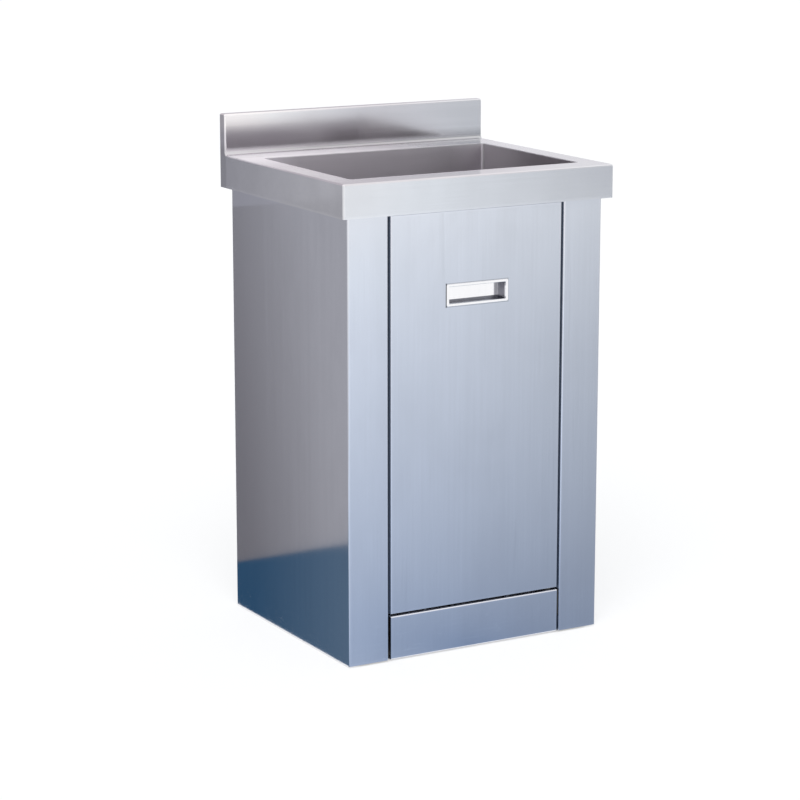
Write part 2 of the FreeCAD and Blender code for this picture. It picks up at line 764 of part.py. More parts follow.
def make_shelf():
    """Bottom shelf notched round the posts, its cleats on the side panels and their screws."""
    body = new_body("bottom_shelf")
    wide = "side_inner - panel_fit"
    neck = "jamb - panel_fit"
    shoulder = "post_back + panel_fit"
    lip = "door_back + shelf_front_gap"
    outline = [
        (side(-1, wide), shoulder),
        (side(-1, neck), shoulder),
        (side(-1, neck), lip),
        (neck, lip),
        (neck, shoulder),
        (wide, shoulder),
        (wide, "back_inner - panel_fit"),
        (side(-1, wide), "back_inner - panel_fit"),
    ]
    add_prism(body, "XY", "kick_height", "shelf_top", [outline])
    holes = [(x, y, "screw_hole") for x, y in CLEAT_SCREWS + KICK_SCREWS]
    cut_prism(body, "XY", "kick_height", "shelf_top", circles=holes)
    screws("shelf_screws", [(x, y, "shelf_top") for x, y in CLEAT_SCREWS + KICK_SCREWS], (0, 0, -1))
    cleats = new_body("shelf_cleats")
    cleats.AllowCompound = True
    angle = [
        ("side_inner", "kick_height"),
        ("side_inner - cleat_leg", "kick_height"),
        ("side_inner - cleat_leg", "lower_plate_top"),
        ("side_inner - panel_gauge", "lower_plate_top"),
        ("side_inner - panel_gauge", "kick_height - cleat_leg"),
        ("side_inner", "kick_height - cleat_leg"),
    ]
    angles = [[(side(sign, x), z) for x, z in angle] for sign in (-1, 1)]
    add_prism(cleats, "XZ", "foot_front - gusset_half", "foot_rear + gusset_half", angles)
    cleat_holes = [(x, y, "screw_hole") for x, y in CLEAT_SCREWS]
    cut_prism(cleats, "XY", "lower_plate_top", "kick_height", circles=cleat_holes)


def make_kick_panel():
    """Kick panel between the stiles, with flanges turned back at its top and foot."""
    body = new_body("kick_panel")
    gauge = "panel_gauge"
    section = [
        ("cabinet_front + kick_flange", "kick_height"),
        ("cabinet_front", "kick_height"),
        ("cabinet_front", "floor_gap"),
        ("cabinet_front + kick_foot", "floor_gap"),
        ("cabinet_front + kick_foot", f"floor_gap + {gauge}"),
        (f"cabinet_front + {gauge}", f"floor_gap + {gauge}"),
        (f"cabinet_front + {gauge}", "lower_plate_top"),
        ("cabinet_front + kick_flange", "lower_plate_top"),
    ]
    add_prism(body, "YZ", side(-1, "door_side"), "door_side", [section])
    holes = [("hinge_x", "hinge_y", "pin_passage")]
    holes += [(x, y, "screw_hole") for x, y in KICK_SCREWS]
    cut_prism(body, "XY", "lower_plate_top", "kick_height", circles=holes)
    bends = edges_at(body, y="cabinet_front", z="kick_height")
    bends += edges_at(body, y="cabinet_front", z="floor_gap")
    round_edges(body, "panel_bend", bends)


def make_door():
    """Door skin and liner folded as two pans, a stiffener between them and blocks behind the bushes."""
    inner = "door_side - door_gauge"
    skin_back = "cabinet_front + door_gauge"
    liner_front = "door_back - door_gauge"
    low = "door_bottom + door_gauge"
    high = "door_top - door_gauge"
    skin = new_body("door_skin")
    add_prism(skin, "XZ", "cabinet_front", "door_back", [centred("door_side", "door_bottom", "door_top")])
    cut_prism(skin, "XZ", skin_back, "door_back", [centred(inner, low, high)])
    bush = [("hinge_x", "hinge_y", "bush_radius + running_clearance")]
    cut_prism(skin, "XY", "door_bottom", low, circles=bush)
    cut_prism(skin, "XY", high, "door_top", circles=bush)
    half = "pull_opening_side + pull_gauge + pull_fit"
    rise = "pull_opening_rise + pull_gauge + pull_fit"
    cutout = [centred(half, f"pull_middle - ({rise})", f"pull_middle + {rise}")]
    cut_prism(skin, "XZ", "cabinet_front", skin_back, cutout)
    bends = edges_at(skin, y="cabinet_front", z="door_bottom")
    bends += edges_at(skin, y="cabinet_front", z="door_top")
    for sign in (-1, 1):
        bends += edges_at(skin, x=side(sign, "door_side"), y="cabinet_front")
    round_edges(skin, "door_bend", bends)

    liner = new_body("door_liner")
    pan = [
        (side(-1, inner), "door_back - liner_flange"),
        (side(-1, inner), "door_back"),
        (inner, "door_back"),
        (inner, "door_back - liner_flange"),
        (f"{inner} - door_gauge", "door_back - liner_flange"),
        (f"{inner} - door_gauge", liner_front),
        (side(-1, f"{inner} - door_gauge"), liner_front),
        (side(-1, f"{inner} - door_gauge"), "door_back - liner_flange"),
    ]
    add_prism(liner, "XY", low, high, [pan])
    strike_holes = [(x, z, "screw_hole") for x, z in STRIKE_SCREWS]
    cut_prism(liner, "XZ", liner_front, "door_back", circles=strike_holes)

    stiffener = new_body("door_stiffener")
    reach = "stiffener_width / 2"
    channel = [
        (side(-1, reach), skin_back),
        (reach, skin_back),
        (reach, liner_front),
        (f"{reach} - door_gauge", liner_front),
        (f"{reach} - door_gauge", skin_back + " + door_gauge"),
        (side(-1, f"{reach} - door_gauge"), skin_back + " + door_gauge"),
        (side(-1, f"{reach} - door_gauge"), liner_front),
        (side(-1, reach), liner_front),
    ]
    stiffener_top = "pull_middle - pull_height / 2 - stiffener_end_gap"
    add_prism(stiffener, "XY", "door_bottom + stiffener_end_gap", stiffener_top, [channel])

    for label, bottom, top in (
        ("top_hinge_block", f"{high} - hinge_block_thickness", high),
        ("bottom_hinge_block", low, f"{low} + hinge_block_thickness"),
    ):
        block = new_body(label)
        outline = rectangle("hinge_x - hinge_plate_reach", f"{inner} - door_gauge", skin_back, liner_front)
        add_prism(block, "XY", bottom, top, [outline])
        cut_prism(block, "XY", bottom, top, circles=bush)


def make_hinges():
    """Pivot pins at the door's head and foot, the plates that carry them and the bushes in the door."""
    flange = "bush_radius + bush_flange"
    turned("top_hinge_bush", "hinge_x", "hinge_y", [
        ("bush_bore", "door_top - bush_length"),
        ("bush_radius", "door_top - bush_length"),
        ("bush_radius", "door_top"),
        (flange, "door_top"),
        (flange, "door_top + bush_flange_thickness"),
        ("bush_bore", "door_top + bush_flange_thickness"),
    ])
    turned("bottom_hinge_bush", "hinge_x", "hinge_y", [
        ("bush_bore", "door_bottom - bush_flange_thickness"),
        (flange, "door_bottom - bush_flange_thickness"),
        (flange, "door_bottom"),
        ("bush_radius", "door_bottom"),
        ("bush_radius", "door_bottom + bush_length"),
        ("bush_bore", "door_bottom + bush_length"),
    ])

    plate_top = "upper_plate_bottom + hinge_plate"
    head = "pin_radius + pin_head"
    bore = "pin_radius + running_clearance"
    plate = new_body("top_hinge_plate")
    reach = "hinge_x - hinge_plate_reach"
    outline = rectangle(reach, "jamb", "hinge_y - hinge_plate_half", "hinge_y + hinge_plate_half")
    add_prism(plate, "XY", "upper_plate_bottom", plate_top, [outline])
    holes = [("hinge_x", "hinge_y", bore)]
    holes += [(x, y, "screw_hole") for x, y in RIVETS]
    cut_prism(plate, "XY", "upper_plate_bottom", plate_top, circles=holes)
    turned("top_hinge_pin", "hinge_x", "hinge_y", [
        ("0", "door_top - pin_engagement"),
        ("pin_radius", "door_top - pin_engagement"),
        ("pin_radius", plate_top),
        (head, plate_top),
        (head, f"{plate_top} + pin_head_height"),
        ("0", f"{plate_top} + pin_head_height"),
    ])
    rivets = []
    for index, (x, y) in enumerate(RIVETS, 1):
        shank = f"{plate_top} - apron_bottom"
        rivets.append(screw(f"hinge_rivet_{index}", (x, y, plate_top), (0, 0, -1), shank))
    group("top_hinge_rivets", rivets)

    plate_bottom = "lower_plate_top - hinge_plate"
    bracket = new_body("bottom_hinge_bracket")
    angle = [
        (reach, "lower_plate_top"),
        ("jamb", "lower_plate_top"),
        ("jamb", "lower_plate_top - hinge_bracket_drop"),
        ("jamb - hinge_plate", "lower_plate_top - hinge_bracket_drop"),
        ("jamb - hinge_plate", plate_bottom),
        (reach, plate_bottom),
    ]
    add_prism(bracket, "XZ", "hinge_y - hinge_plate_half", "hinge_y + hinge_plate_half", [angle])
    cut_prism(bracket, "XY", plate_bottom, "lower_plate_top", circles=[("hinge_x", "hinge_y", bore)])
    screw_holes = [(y, z, "screw_hole") for y, z in HINGE_SCREWS]
    cut_prism(bracket, "YZ", "jamb - hinge_plate", "jamb", circles=screw_holes)
    screws("bottom_hinge_screws", [("jamb - hinge_plate", y, z) for y, z in HINGE_SCREWS], (1, 0, 0))
    collar_top = "door_bottom - bush_flange_thickness - running_clearance"
    turned("bottom_hinge_pin", "hinge_x", "hinge_y", [
        ("0", f"{plate_bottom} - pin_head_height"),
        (head, f"{plate_bottom} - pin_head_height"),
        (head, plate_bottom),
        ("pin_radius", plate_bottom),
        ("pin_radius", "kick_height"),
        ("collar_radius", "kick_height"),
        ("collar_radius", collar_top),
        ("pin_radius", collar_top),
        ("pin_radius", "door_bottom + pin_engagement"),
        ("0", "door_bottom + pin_engagement"),
    ])


def make_pull():
    """Recessed pull: a drawn cup with a bright flange, held by a frame behind the door skin."""
    body = new_body("pull_cup")
    face = "cabinet_front - pull_flange"
    cup_back = "cabinet_front + pull_depth"
    half = "pull_opening_side + pull_gauge"
    rise = "pull_opening_rise + pull_gauge"

    def frame(across, up):
        return centred(across, f"pull_middle - ({up})", f"pull_middle + {up}")

    add_prism(body, "XZ", face, "cabinet_front", [frame("pull_width / 2", "pull_height / 2")])
    corners = []
    for sign in (-1, 1):
        for end in (-1, 1):
            level = f"pull_middle + {end} * pull_height / 2"
            corners += edges_at(body, x=side(sign, "pull_width / 2"), z=level)
    round_edges(body, "pull_corner", corners)
    cup = body.newObject("PartDesign::Pad", "pull_cup_outside")
    cup.Profile = prism_sketch(body, "XZ", face, "cabinet_front", [frame(half, rise)], [])
    cup.Reversed = True
    bind(cup, "Length", "pull_depth + pull_gauge")
    bind(cup, "TaperAngle", "-1 * pull_draft")
    doc.recompute()
    before = body.Shape.Volume
    mouth = frame("pull_opening_side", "pull_opening_rise")
    recess = body.newObject("PartDesign::Pocket", "pull_cup_inside")
    recess.Profile = prism_sketch(body, "XZ", cup_back, face, [mouth], [])
    bind(recess, "Length", "pull_depth + pull_flange")
    bind(recess, "TaperAngle", "-1 * pull_draft")
    doc.recompute()
    if body.Shape.Volume >= before:
        raise RuntimeError("the pull has no recess")
    round_edges(body, "pull_edge", edges_at(body, y=face))

    retainer = new_body("pull_retainer")
    low = "cabinet_front + door_gauge"
    outside = frame(f"{half} + pull_fit + retainer_border", f"{rise} + pull_fit + retainer_border")
    inside = frame(f"{half} + pull_fit", f"{rise} + pull_fit")
    add_prism(retainer, "XZ", low, f"{low} + retainer_thickness", [outside, inside])


def make_catch():
    """Magnetic catch on the left jamb and the strike plate on the door."""
    housing = new_body("catch_housing")
    left = side(-1, "jamb")
    right = "-1 * jamb + catch_width"
    low = "catch_level - catch_half"
    high = "catch_level + catch_half"
    add_prism(housing, "XY", low, high, [rectangle(left, right, "catch_front", "post_back")])
    middle = "-1 * jamb + catch_width / 2"
    seat = rectangle(f"{middle} - magnet_width / 2", f"{middle} + magnet_width / 2",
                     "catch_level - magnet_half", "catch_level + magnet_half")
    cut_prism(housing, "XZ", "catch_front", "catch_front + magnet_depth", [seat])
    cut_prism(housing, "YZ", left, right, circles=[(y, z, "screw_hole") for y, z in CATCH_SCREWS])
    magnet = box(
        "catch_magnet",
        f"{middle} - magnet_width / 2", f"{middle} + magnet_width / 2",
        "catch_front", "catch_front + magnet_depth",
        "catch_level - magnet_half", "catch_level + magnet_half",
    )
    keep(magnet, "catch_magnet")
    rods = []
    for index, (y, z) in enumerate(CATCH_SCREWS, 1):
        shank = "catch_width + screw_length / 2"
        rods.append(screw(f"catch_screw_{index}", (right, y, z), (-1, 0, 0), shank))
    group("catch_screws", rods)

    strike = new_body("strike_plate")
    edge = "-1 * door_side + strike_edge_gap"
    plate = rectangle(edge, right, "catch_level - strike_half", "catch_level + strike_half")
    add_prism(strike, "XZ", "door_back", "door_back + strike_thickness", [plate])
    holes = [(x, z, "screw_hole") for x, z in STRIKE_SCREWS]
    cut_prism(strike, "XZ", "door_back", "door_back + strike_thickness", circles=holes)
    screws("strike_screws", [(x, "door_back + strike_thickness", z) for x, z in STRIKE_SCREWS], (0, -1, 0))


def make_drain():
    """Strainer body in the bowl's floor, its gasket and lock nut, and the basket that lifts out."""
    axis = ("0", "bowl_middle")
    inside = "cup_radius - drain_gauge"
    turned("drain_body", *axis, [
        ("pipe_bore", "neck_end"),
        ("neck_radius", "neck_end"),
        ("neck_radius", "cup_bottom"),
        ("cup_radius", "cup_bottom"),
        ("cup_radius", "drain_level"),
        ("drain_flange", "drain_level"),
        ("drain_flange", "drain_level + drain_gauge"),
        (inside, "drain_level + drain_gauge"),
        (inside, "cup_floor"),
        ("pipe_bore", "cup_floor"),
    ])
    thread = "cup_radius + thread_clearance"
    outside = "cup_radius + lock_nut_width"
    ring("drain_gasket", *axis, thread, outside, "gasket_bottom", "gasket_top")
    nut = new_body("drain_lock_nut")
    hexes = [hexagon("0", "bowl_middle", outside)]
    bore = [("0", "bowl_middle", thread)]
    add_prism(nut, "XY", "gasket_bottom - lock_nut_height", "gasket_bottom", hexes, bore)

    ring("basket_stopper", *axis, "post_radius", "stopper_radius", "cup_floor", "basket_bottom")
    rim = "basket_bottom + basket_height"
    basket = turned("basket_cup", *axis, [
        ("post_radius", "basket_bottom"),
        ("basket_radius", "basket_bottom"),
        ("basket_radius", f"{rim} - basket_wall"),
        ("basket_radius + basket_rim", f"{rim} - basket_wall"),
        ("basket_radius + basket_rim", rim),
        ("basket_radius - basket_wall", rim),
        ("basket_radius - basket_wall", "basket_bottom + basket_wall"),
        ("post_radius", "basket_bottom + basket_wall"),
    ])
    holes = []
    for radius, count in (("basket_inner_ring", 10), ("basket_outer_ring", 18)):
        for step in range(count):
            angle = 360 * step / count
            holes.append((f"{radius} * cos({angle})", f"{radius} * sin({angle})", "basket_hole"))
    cut_prism(basket, "XY", "basket_bottom", "basket_bottom + basket_wall", circles=holes)
    stem_top = "basket_bottom + basket_wall + knob_stem"
    turned("basket_knob", *axis, [
        ("0", "cup_floor"),
        ("post_radius", "cup_floor"),
        ("post_radius", stem_top),
        ("knob_radius", f"{stem_top} + knob_height / 3"),
        ("knob_radius", f"{stem_top} + knob_height * 2 / 3"),
        ("knob_radius * 2 / 3", f"{stem_top} + knob_height"),
        ("0", f"{stem_top} + knob_height"),
    ])


def make_pipe(label, plane_level, start, corners):
    """A bent tube in the middle plane of the cabinet, swept along square legs with round bends."""
    body = new_body(label)
    path = sketch_on(body, "YZ", "0")
    draw_bent_line(path, corners, "pipe_bend")
    section = sketch_on(body, "XY", plane_level)
    draw_circle(section, "0", start, "pipe_radius")
    draw_circle(section, "0", start, "pipe_bore")
    pipe = body.newObject("PartDesign::AdditivePipe", body.Name + "_sweep")
    pipe.Profile = section
    pipe.Spine = (path, [f"Edge{index}" for index in range(1, path.GeometryCount + 1)])
    doc.recompute()
    return body


def make_waste():
    """Tailpiece, trap bend, waste arm to the wall, and the nuts that join them."""
    axis = ("0", "bowl_middle")
    collar = "neck_end - tail_collar"
    turned("tailpiece", *axis, [
        ("pipe_bore", "tail_end"),
        ("pipe_radius", "tail_end"),
        ("pipe_radius", collar),
        ("neck_radius", collar),
        ("neck_radius", "neck_end"),
        ("pipe_bore", "neck_end"),
    ])
    neck_fit = "neck_radius + slip_clearance"
    pipe_fit = "pipe_radius + slip_clearance"
    turned("tail_nut", *axis, [
        (pipe_fit, f"{collar} - tail_nut_lip"),
        ("neck_radius + nut_wall", f"{collar} - tail_nut_lip"),
        ("neck_radius + nut_wall", "neck_end + tail_nut_grip"),
        (neck_fit, "neck_end + tail_nut_grip"),
        (neck_fit, collar),
        (pipe_fit, collar),
    ])
    make_pipe("trap_bend", "tail_end", "bowl_middle", [
        ("bowl_middle", "tail_end"),
        ("bowl_middle", "trap_bottom"),
        ("trap_out", "trap_bottom"),
        ("trap_out", "trap_top"),
    ])
    arm = make_pipe("waste_arm", "trap_top", "trap_out", [
        ("trap_out", "trap_top"),
        ("trap_out", "waste_level"),
        ("spigot_start", "waste_level"),
    ])
    spigot = [("0", "waste_level", "spigot_radius"), ("0", "waste_level", "pipe_bore")]
    add_prism(arm, "XZ", "spigot_start", "spigot_end", circles=spigot)
    for label, y, joint in (
        ("trap_inlet_nut", "bowl_middle", "tail_end"),
        ("trap_outlet_nut", "trap_out", "trap_top"),
    ):
        nut = new_body(label)
        outline = [hexagon("0", y, "pipe_radius + nut_wall")]
        bore = [("0", y, pipe_fit)]
        add_prism(nut, "XY", f"{joint} - nut_height / 2", f"{joint} + nut_height / 2", outline, bore)
    rosette = new_body("waste_rosette")
    rings = [("0", "waste_level", "pipe_radius + rosette_width"), ("0", "waste_level", pipe_fit)]
    add_prism(rosette, "XZ", "back_inner - rosette_thickness", "back_inner", circles=rings)


def make_feet():
    """Gussets in the base corners, their weld nuts and the four screw feet."""
    gussets = new_body("foot_gussets")
    gussets.AllowCompound = True
    plates = []
    for x, y in FEET.values():
        sign = 1 if value(x) > 0 else -1
        inner = side(sign, "foot_x - gusset_reach")
        outer = side(sign, "side_inner - panel_fit")
        plates.append(rectangle(inner, outer, f"{y} - gusset_half", f"{y} + gusset_half"))
    holes = [(x, y, "stem_radius + stem_clearance") for x, y in FEET.values()]
    add_prism(gussets, "XY", "gusset_bottom", "gusset_top", plates, holes)
    nuts = new_body("foot_nuts")
    nuts.AllowCompound = True
    hexes = [hexagon(x, y, "foot_nut_radius") for x, y in FEET.values()]
    bores = [(x, y, "stem_radius + running_clearance") for x, y in FEET.values()]
    add_prism(nuts, "XY", "gusset_top", "gusset_top + foot_nut_height", hexes, bores)
    for corner, (x, y) in FEET.items():
        stem_base = (x, y, "pad_thickness")
        stem = cylinder(f"foot_stem_{corner}", stem_base, (0, 0, 1), "stem_radius", "stem_length")
        keep(stem, f"foot_stem_{corner}")
        pad = cylinder(f"foot_pad_{corner}", (x, y, "0"), (0, 0, 1), "pad_radius", "pad_thickness")
        keep(pad, f"foot_pad_{corner}")


def check_document():
    """Stop if any object failed or any sub-part has no sound shape."""
    doc.recompute()
    for item in doc.Objects:
        if "Invalid" in item.State or "Error" in item.State:
            raise RuntimeError(f"{item.Label} failed to build")
    for item in parts:
        if item.Shape.isNull() or not item.Shape.isValid() or not item.Shape.Solids:
            raise RuntimeError(f"{item.Label} has no sound shape")


make_sink_top()
make_bowl()
make_sound_pads()
make_deck_fixings()
make_side_panel("left_side_panel", -1, CATCH_SCREWS)
make_side_panel("right_side_panel", 1, HINGE_SCREWS)
make_back()
make_front_rail()
make_bumpers()
make_shelf()
make_kick_panel()
make_door()
make_hinges()
make_pull()
make_catch()
make_drain()
make_waste()
make_feet()
check_document()

os.makedirs("parts", exist_ok=True)
for item in parts:
    item.Shape.exportStep(f"parts/{item.Label}.step")
    print(item.Label, len(item.Shape.Solids), round(item.Shape.Volume))
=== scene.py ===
"""Looks of the stainless scrub sink: brushed sheet, bright pull, pipes, hardware and a plain studio.

Metres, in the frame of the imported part: +Z up, front of the cabinet towards -Y.
"""
import bmesh
import bpy
import json
import math
from mathutils import Matrix, Vector

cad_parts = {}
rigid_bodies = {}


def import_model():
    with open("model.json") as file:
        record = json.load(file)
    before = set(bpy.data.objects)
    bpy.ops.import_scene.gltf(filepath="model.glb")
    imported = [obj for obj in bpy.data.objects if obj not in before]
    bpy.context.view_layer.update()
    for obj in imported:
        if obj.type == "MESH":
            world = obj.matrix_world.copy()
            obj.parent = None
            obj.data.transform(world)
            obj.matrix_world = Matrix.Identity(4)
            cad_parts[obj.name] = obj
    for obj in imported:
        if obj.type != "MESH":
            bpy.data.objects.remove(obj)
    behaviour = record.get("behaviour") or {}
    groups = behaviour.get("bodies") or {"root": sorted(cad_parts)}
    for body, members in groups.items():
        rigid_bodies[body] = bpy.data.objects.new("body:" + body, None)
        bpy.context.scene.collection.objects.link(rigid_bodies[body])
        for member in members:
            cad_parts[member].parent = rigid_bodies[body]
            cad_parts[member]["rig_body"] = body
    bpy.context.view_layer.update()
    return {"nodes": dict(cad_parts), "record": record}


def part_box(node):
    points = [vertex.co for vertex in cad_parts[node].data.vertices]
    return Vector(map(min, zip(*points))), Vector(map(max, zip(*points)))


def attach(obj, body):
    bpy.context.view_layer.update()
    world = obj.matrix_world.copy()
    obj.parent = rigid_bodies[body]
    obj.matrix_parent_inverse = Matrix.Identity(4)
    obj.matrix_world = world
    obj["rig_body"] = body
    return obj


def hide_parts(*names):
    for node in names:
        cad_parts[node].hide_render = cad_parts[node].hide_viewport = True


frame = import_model()

# Camera at the photograph's place, turned from +Y towards +X and tipped down
CAMERA_PLACE = (-2.2339, -3.8852, 1.3697)
CAMERA_TURN = 29.592
CAMERA_TIP = 12.392
CAMERA_LENS = 120.39

# Colours of the steel, of what tints or dulls it, and of the painted shade by the pull and in the
# door gaps
COOL_STEEL = (0.82, 0.83, 0.89)
DECK_STEEL = (0.82, 0.82, 0.85)
BOWL_STEEL = (0.68, 0.65, 0.69)
DRAIN_STEEL = (0.82, 0.83, 0.85)
WARM_CAST = (1.0, 0.967, 0.972, 1)
# Painted shade: the bluish dark of the narrow gaps beside the door
GAP_SHADE_TONE = (0.24, 0.29, 0.38, 1)
# Painted shadow: the dark line beside the pull's flange
EDGE_SHADOW_TONE = (0.03, 0.03, 0.04, 1)
GREY_DUST = (0.55, 0.54, 0.52, 1)
WHITE = (1, 1, 1, 1)

# Places on the object that the finishes and the studio follow
FRONT_FACE = -0.207
CABINET_HALF = (0.24, 0.207, 0.0)
BOWL_CENTRE = (0.0, -0.02, 0.8)
BOWL_HALF = (0.2165, 0.1525, 1.0)
WELD_LINE = 0.158
PULL_CENTRE = (0.0, -0.207, 0.604)
PULL_HALF = (0.0585, 1.0, 0.0185)
DOOR_GAP = 0.16425

# Pan-head screws: radius and height of the head, radius of the shank, length under the head
HEAD = 0.004
RISE = 0.002
SHANK = 0.0019
SHORT = 0.006
LONG = 0.019

# Shelf screws: depth of the foremost ones at the sides, and how far aside the front ones sit
SHELF_SIDE_FRONT = -0.135
SHELF_FRONT_ASIDE = 0.081

# Bores of the pipe nuts, the lip and ribs of the tail nut, and corner radius and bore of small nuts
TRAP_BORE = 0.0213
TAIL_BORE = 0.0243
DRAIN_BORE = 0.0443
TAIL_LIP = 0.004
TAIL_RIBS = 28
DECK_NUT = (0.0044, 0.0026)
FOOT_NUT = (0.009, 0.0051)

# Small threaded rods and the door's bumpers
STUD_RADIUS = 0.0025
STUD_PITCH = 0.0008
STEM_PITCH = 0.0015
BUMPER_RADIUS = 0.005

# Studio: reach of the floor and of the cards on it, their height, and where they start by the cabinet
FLOOR_REACH = 60.0
CARD_REACH = 9.0
CARD_LIFT = 0.001
CARD_SIDE = 0.245
CARD_FRONT = 0.21

UP = (0, 0, 1)


def feed(tree, socket, source):
    """Set a socket to a value, or link it to another node's output."""
    if isinstance(source, bpy.types.NodeSocket):
        tree.links.new(source, socket)
    else:
        socket.default_value = source


def add(tree, kind, inputs=None, **settings):
    """A new node with its settings made and its inputs fed."""
    made = tree.nodes.new(kind)
    for name, setting in settings.items():
        setattr(made, name, setting)
    for name, source in (inputs or {}).items():
        feed(tree, made.inputs[name], source)
    return made


def calc(tree, operation, *sources):
    """The result of a sum on values."""
    return add(tree, "ShaderNodeMath", dict(enumerate(sources)), operation=operation).outputs["Value"]


def vector_node(tree, operation, *sources):
    """The outputs of a sum on vectors."""
    return add(tree, "ShaderNodeVectorMath", dict(enumerate(sources)), operation=operation).outputs


def vector_calc(tree, operation, *sources):
    """The result of a sum on vectors that gives a vector."""
    return vector_node(tree, operation, *sources)["Vector"]


def scaled(tree, vector, factor):
    """A vector made longer or shorter."""
    inputs = {0: vector, "Scale": factor}
    return add(tree, "ShaderNodeVectorMath", inputs, operation="SCALE").outputs["Vector"]


def axes(tree, vector):
    """The X, Y and Z of a vector."""
    return add(tree, "ShaderNodeSeparateXYZ", {0: vector}).outputs


def times(tree, first, *others):
    """The product of values."""
    for other in others:
        first = calc(tree, "MULTIPLY", first, other)
    return first


def more(tree, base, share, amount):
    """The base value, raised by an amount where the share is 1."""
    return calc(tree, "ADD", base, calc(tree, "MULTIPLY", share, amount))


def spread(tree, source, low, high, start=0.0, end=1.0):
    """A value from start to end, carried over to low to high and held there."""
    made = add(tree, "ShaderNodeMapRange", {
        "Value": source, "From Min": start, "From Max": end, "To Min": low, "To Max": high})
    return made.outputs["Result"]


def rise(tree, source, start, end):
    """0 up to the start, growing to 1 at the end."""
    return spread(tree, source, 0.0, 1.0, start, end)


def fall(tree, source, start, end):
    """1 up to the start, sinking to 0 at the end."""
    return spread(tree, source, 1.0, 0.0, start, end)


def blend(tree, share, first, second, way="MIX"):
    """The first colour turning into the second, or into their product, as the share grows."""
    inputs = {0: share, 6: first, 7: second}
    settings = {"data_type": "RGBA", "blend_type": way, "clamp_factor": True}
    return add(tree, "ShaderNodeMix", inputs, **settings).outputs[2]


def noise(tree, vector, scale, detail=2.0, roughness=0.5, distortion=0.0):
    """Soft cloudy noise from 0 to 1."""
    made = add(tree, "ShaderNodeTexNoise", {
        "Vector": vector, "Scale": scale, "Detail": detail, "Roughness": roughness,
        "Distortion": distortion})
    return made.outputs[0]


def tone(colour, factor):
    """A colour made lighter or darker, as a socket value."""
    return tuple(min(1.0, part * factor) for part in colour) + (1.0,)


def new_group(name, inputs, outputs):
    """An empty shader node group with named sockets, its input node and its output node."""
    tree = bpy.data.node_groups.new(name, "ShaderNodeTree")
    for label, kind in inputs.items():
        tree.interface.new_socket(label, in_out="INPUT", socket_type="NodeSocket" + kind)
    for label, kind in outputs.items():
        tree.interface.new_socket(label, in_out="OUTPUT", socket_type="NodeSocket" + kind)
    given = tree.nodes.new("NodeGroupInput").outputs
    return tree, given, tree.nodes.new("NodeGroupOutput").inputs


def use_group(tree, group, **inputs):
    """Place a node group in a material and return its outputs."""
    return add(tree, "ShaderNodeGroup", inputs, node_tree=group).outputs


def make_brushing():
    """Long fine scratches of a brushed sheet: Stretch is small along the brushing and 1 across it."""
    tree, given, result = new_group(
        "brushing", {"Vector": "Vector", "Stretch": "Vector"}, {"Lines": "Float", "Bands": "Float"})
    drawn = vector_calc(tree, "MULTIPLY", given["Vector"], given["Stretch"])
    fine = noise(tree, drawn, 1400.0, 2.0, 0.6)
    coarse = noise(tree, drawn, 260.0, 3.0, 0.6)
    feed(tree, result["Lines"], more(tree, times(tree, fine, 0.55), coarse, 0.45))
    feed(tree, result["Bands"], noise(tree, drawn, 45.0, 2.0, 0.5))
    return tree


def make_unevenness():
    """Darker runs along the brushing, and the slow waves of a thin sheet."""
    tree, given, result = new_group(
        "unevenness", {"Vector": "Vector", "Stretch": "Vector"}, {"Runs": "Float", "Waves": "Float"})
    drawn = vector_calc(tree, "MULTIPLY", given["Vector"], given["Stretch"])
    feed(tree, result["Runs"], rise(tree, noise(tree, drawn, 85.0, 3.0, 0.6), 0.64, 0.78))
    feed(tree, result["Waves"], noise(tree, given["Vector"], 3.0, 1.0))
    return tree


def make_handling():
    """Wiped patches and finger smears, from 0 on clean metal to 1."""
    tree, given, result = new_group(
        "handling", {"Vector": "Vector", "Scale": "Float"}, {"Smears": "Float"})
    patches = noise(tree, given["Vector"], given["Scale"], 5.0, 0.55, 0.8)
    narrowed = vector_calc(tree, "MULTIPLY", given["Vector"], (3.0, 3.0, 1.0))
    wiped = noise(tree, narrowed, given["Scale"], 3.0)
    feed(tree, result["Smears"], rise(tree, times(tree, patches, wiped), 0.2, 0.42))
    return tree


def make_rim_wear_highlight():
    """Strip along the edges of a box-shaped piece between its Low and High corners, worn by rubbing
    and carrying a painted highlight.
    """
    tree, given, result = new_group(
        "rim wear", {"Vector": "Vector", "Low": "Vector", "High": "Vector", "Reach": "Float"},
        {"Wear": "Float"})
    from_low = vector_calc(tree, "SUBTRACT", given["Vector"], given["Low"])
    from_high = vector_calc(tree, "SUBTRACT", given["High"], given["Vector"])
    nearest = axes(tree, vector_calc(tree, "MINIMUM", from_low, from_high))
    lesser = calc(tree, "MINIMUM", nearest["X"], nearest["Y"])
    greater = calc(tree, "MAXIMUM", nearest["X"], nearest["Y"])
    to_edge = calc(tree, "MAXIMUM", lesser, calc(tree, "MINIMUM", greater, nearest["Z"]))
    patchy = spread(tree, noise(tree, given["Vector"], 60.0, 4.0), 0.3, 1.5)
    away = calc(tree, "DIVIDE", to_edge, times(tree, given["Reach"], patchy))
    away = calc(tree, "SMOOTH_MIN", away, 1.0, 0.2)
    feed(tree, result["Wear"], calc(tree, "SUBTRACT", 1.0, away))
    return tree


def make_water_marks():
    """Rings of dried drops in sparse patches, from 0 to 1."""
    tree, given, result = new_group(
        "water marks", {"Vector": "Vector", "Scale": "Float"}, {"Marks": "Float"})
    cells = add(tree, "ShaderNodeTexVoronoi", {"Vector": given["Vector"], "Scale": given["Scale"]})
    ring = calc(tree, "ABSOLUTE", calc(tree, "SUBTRACT", cells.outputs["Distance"], 0.22))
    patches = noise(tree, given["Vector"], times(tree, given["Scale"], 0.2), 2.0)
    marks = times(tree, fall(tree, ring, 0.0, 0.07), rise(tree, patches, 0.5, 0.65))
    feed(tree, result["Marks"], marks)
    return tree


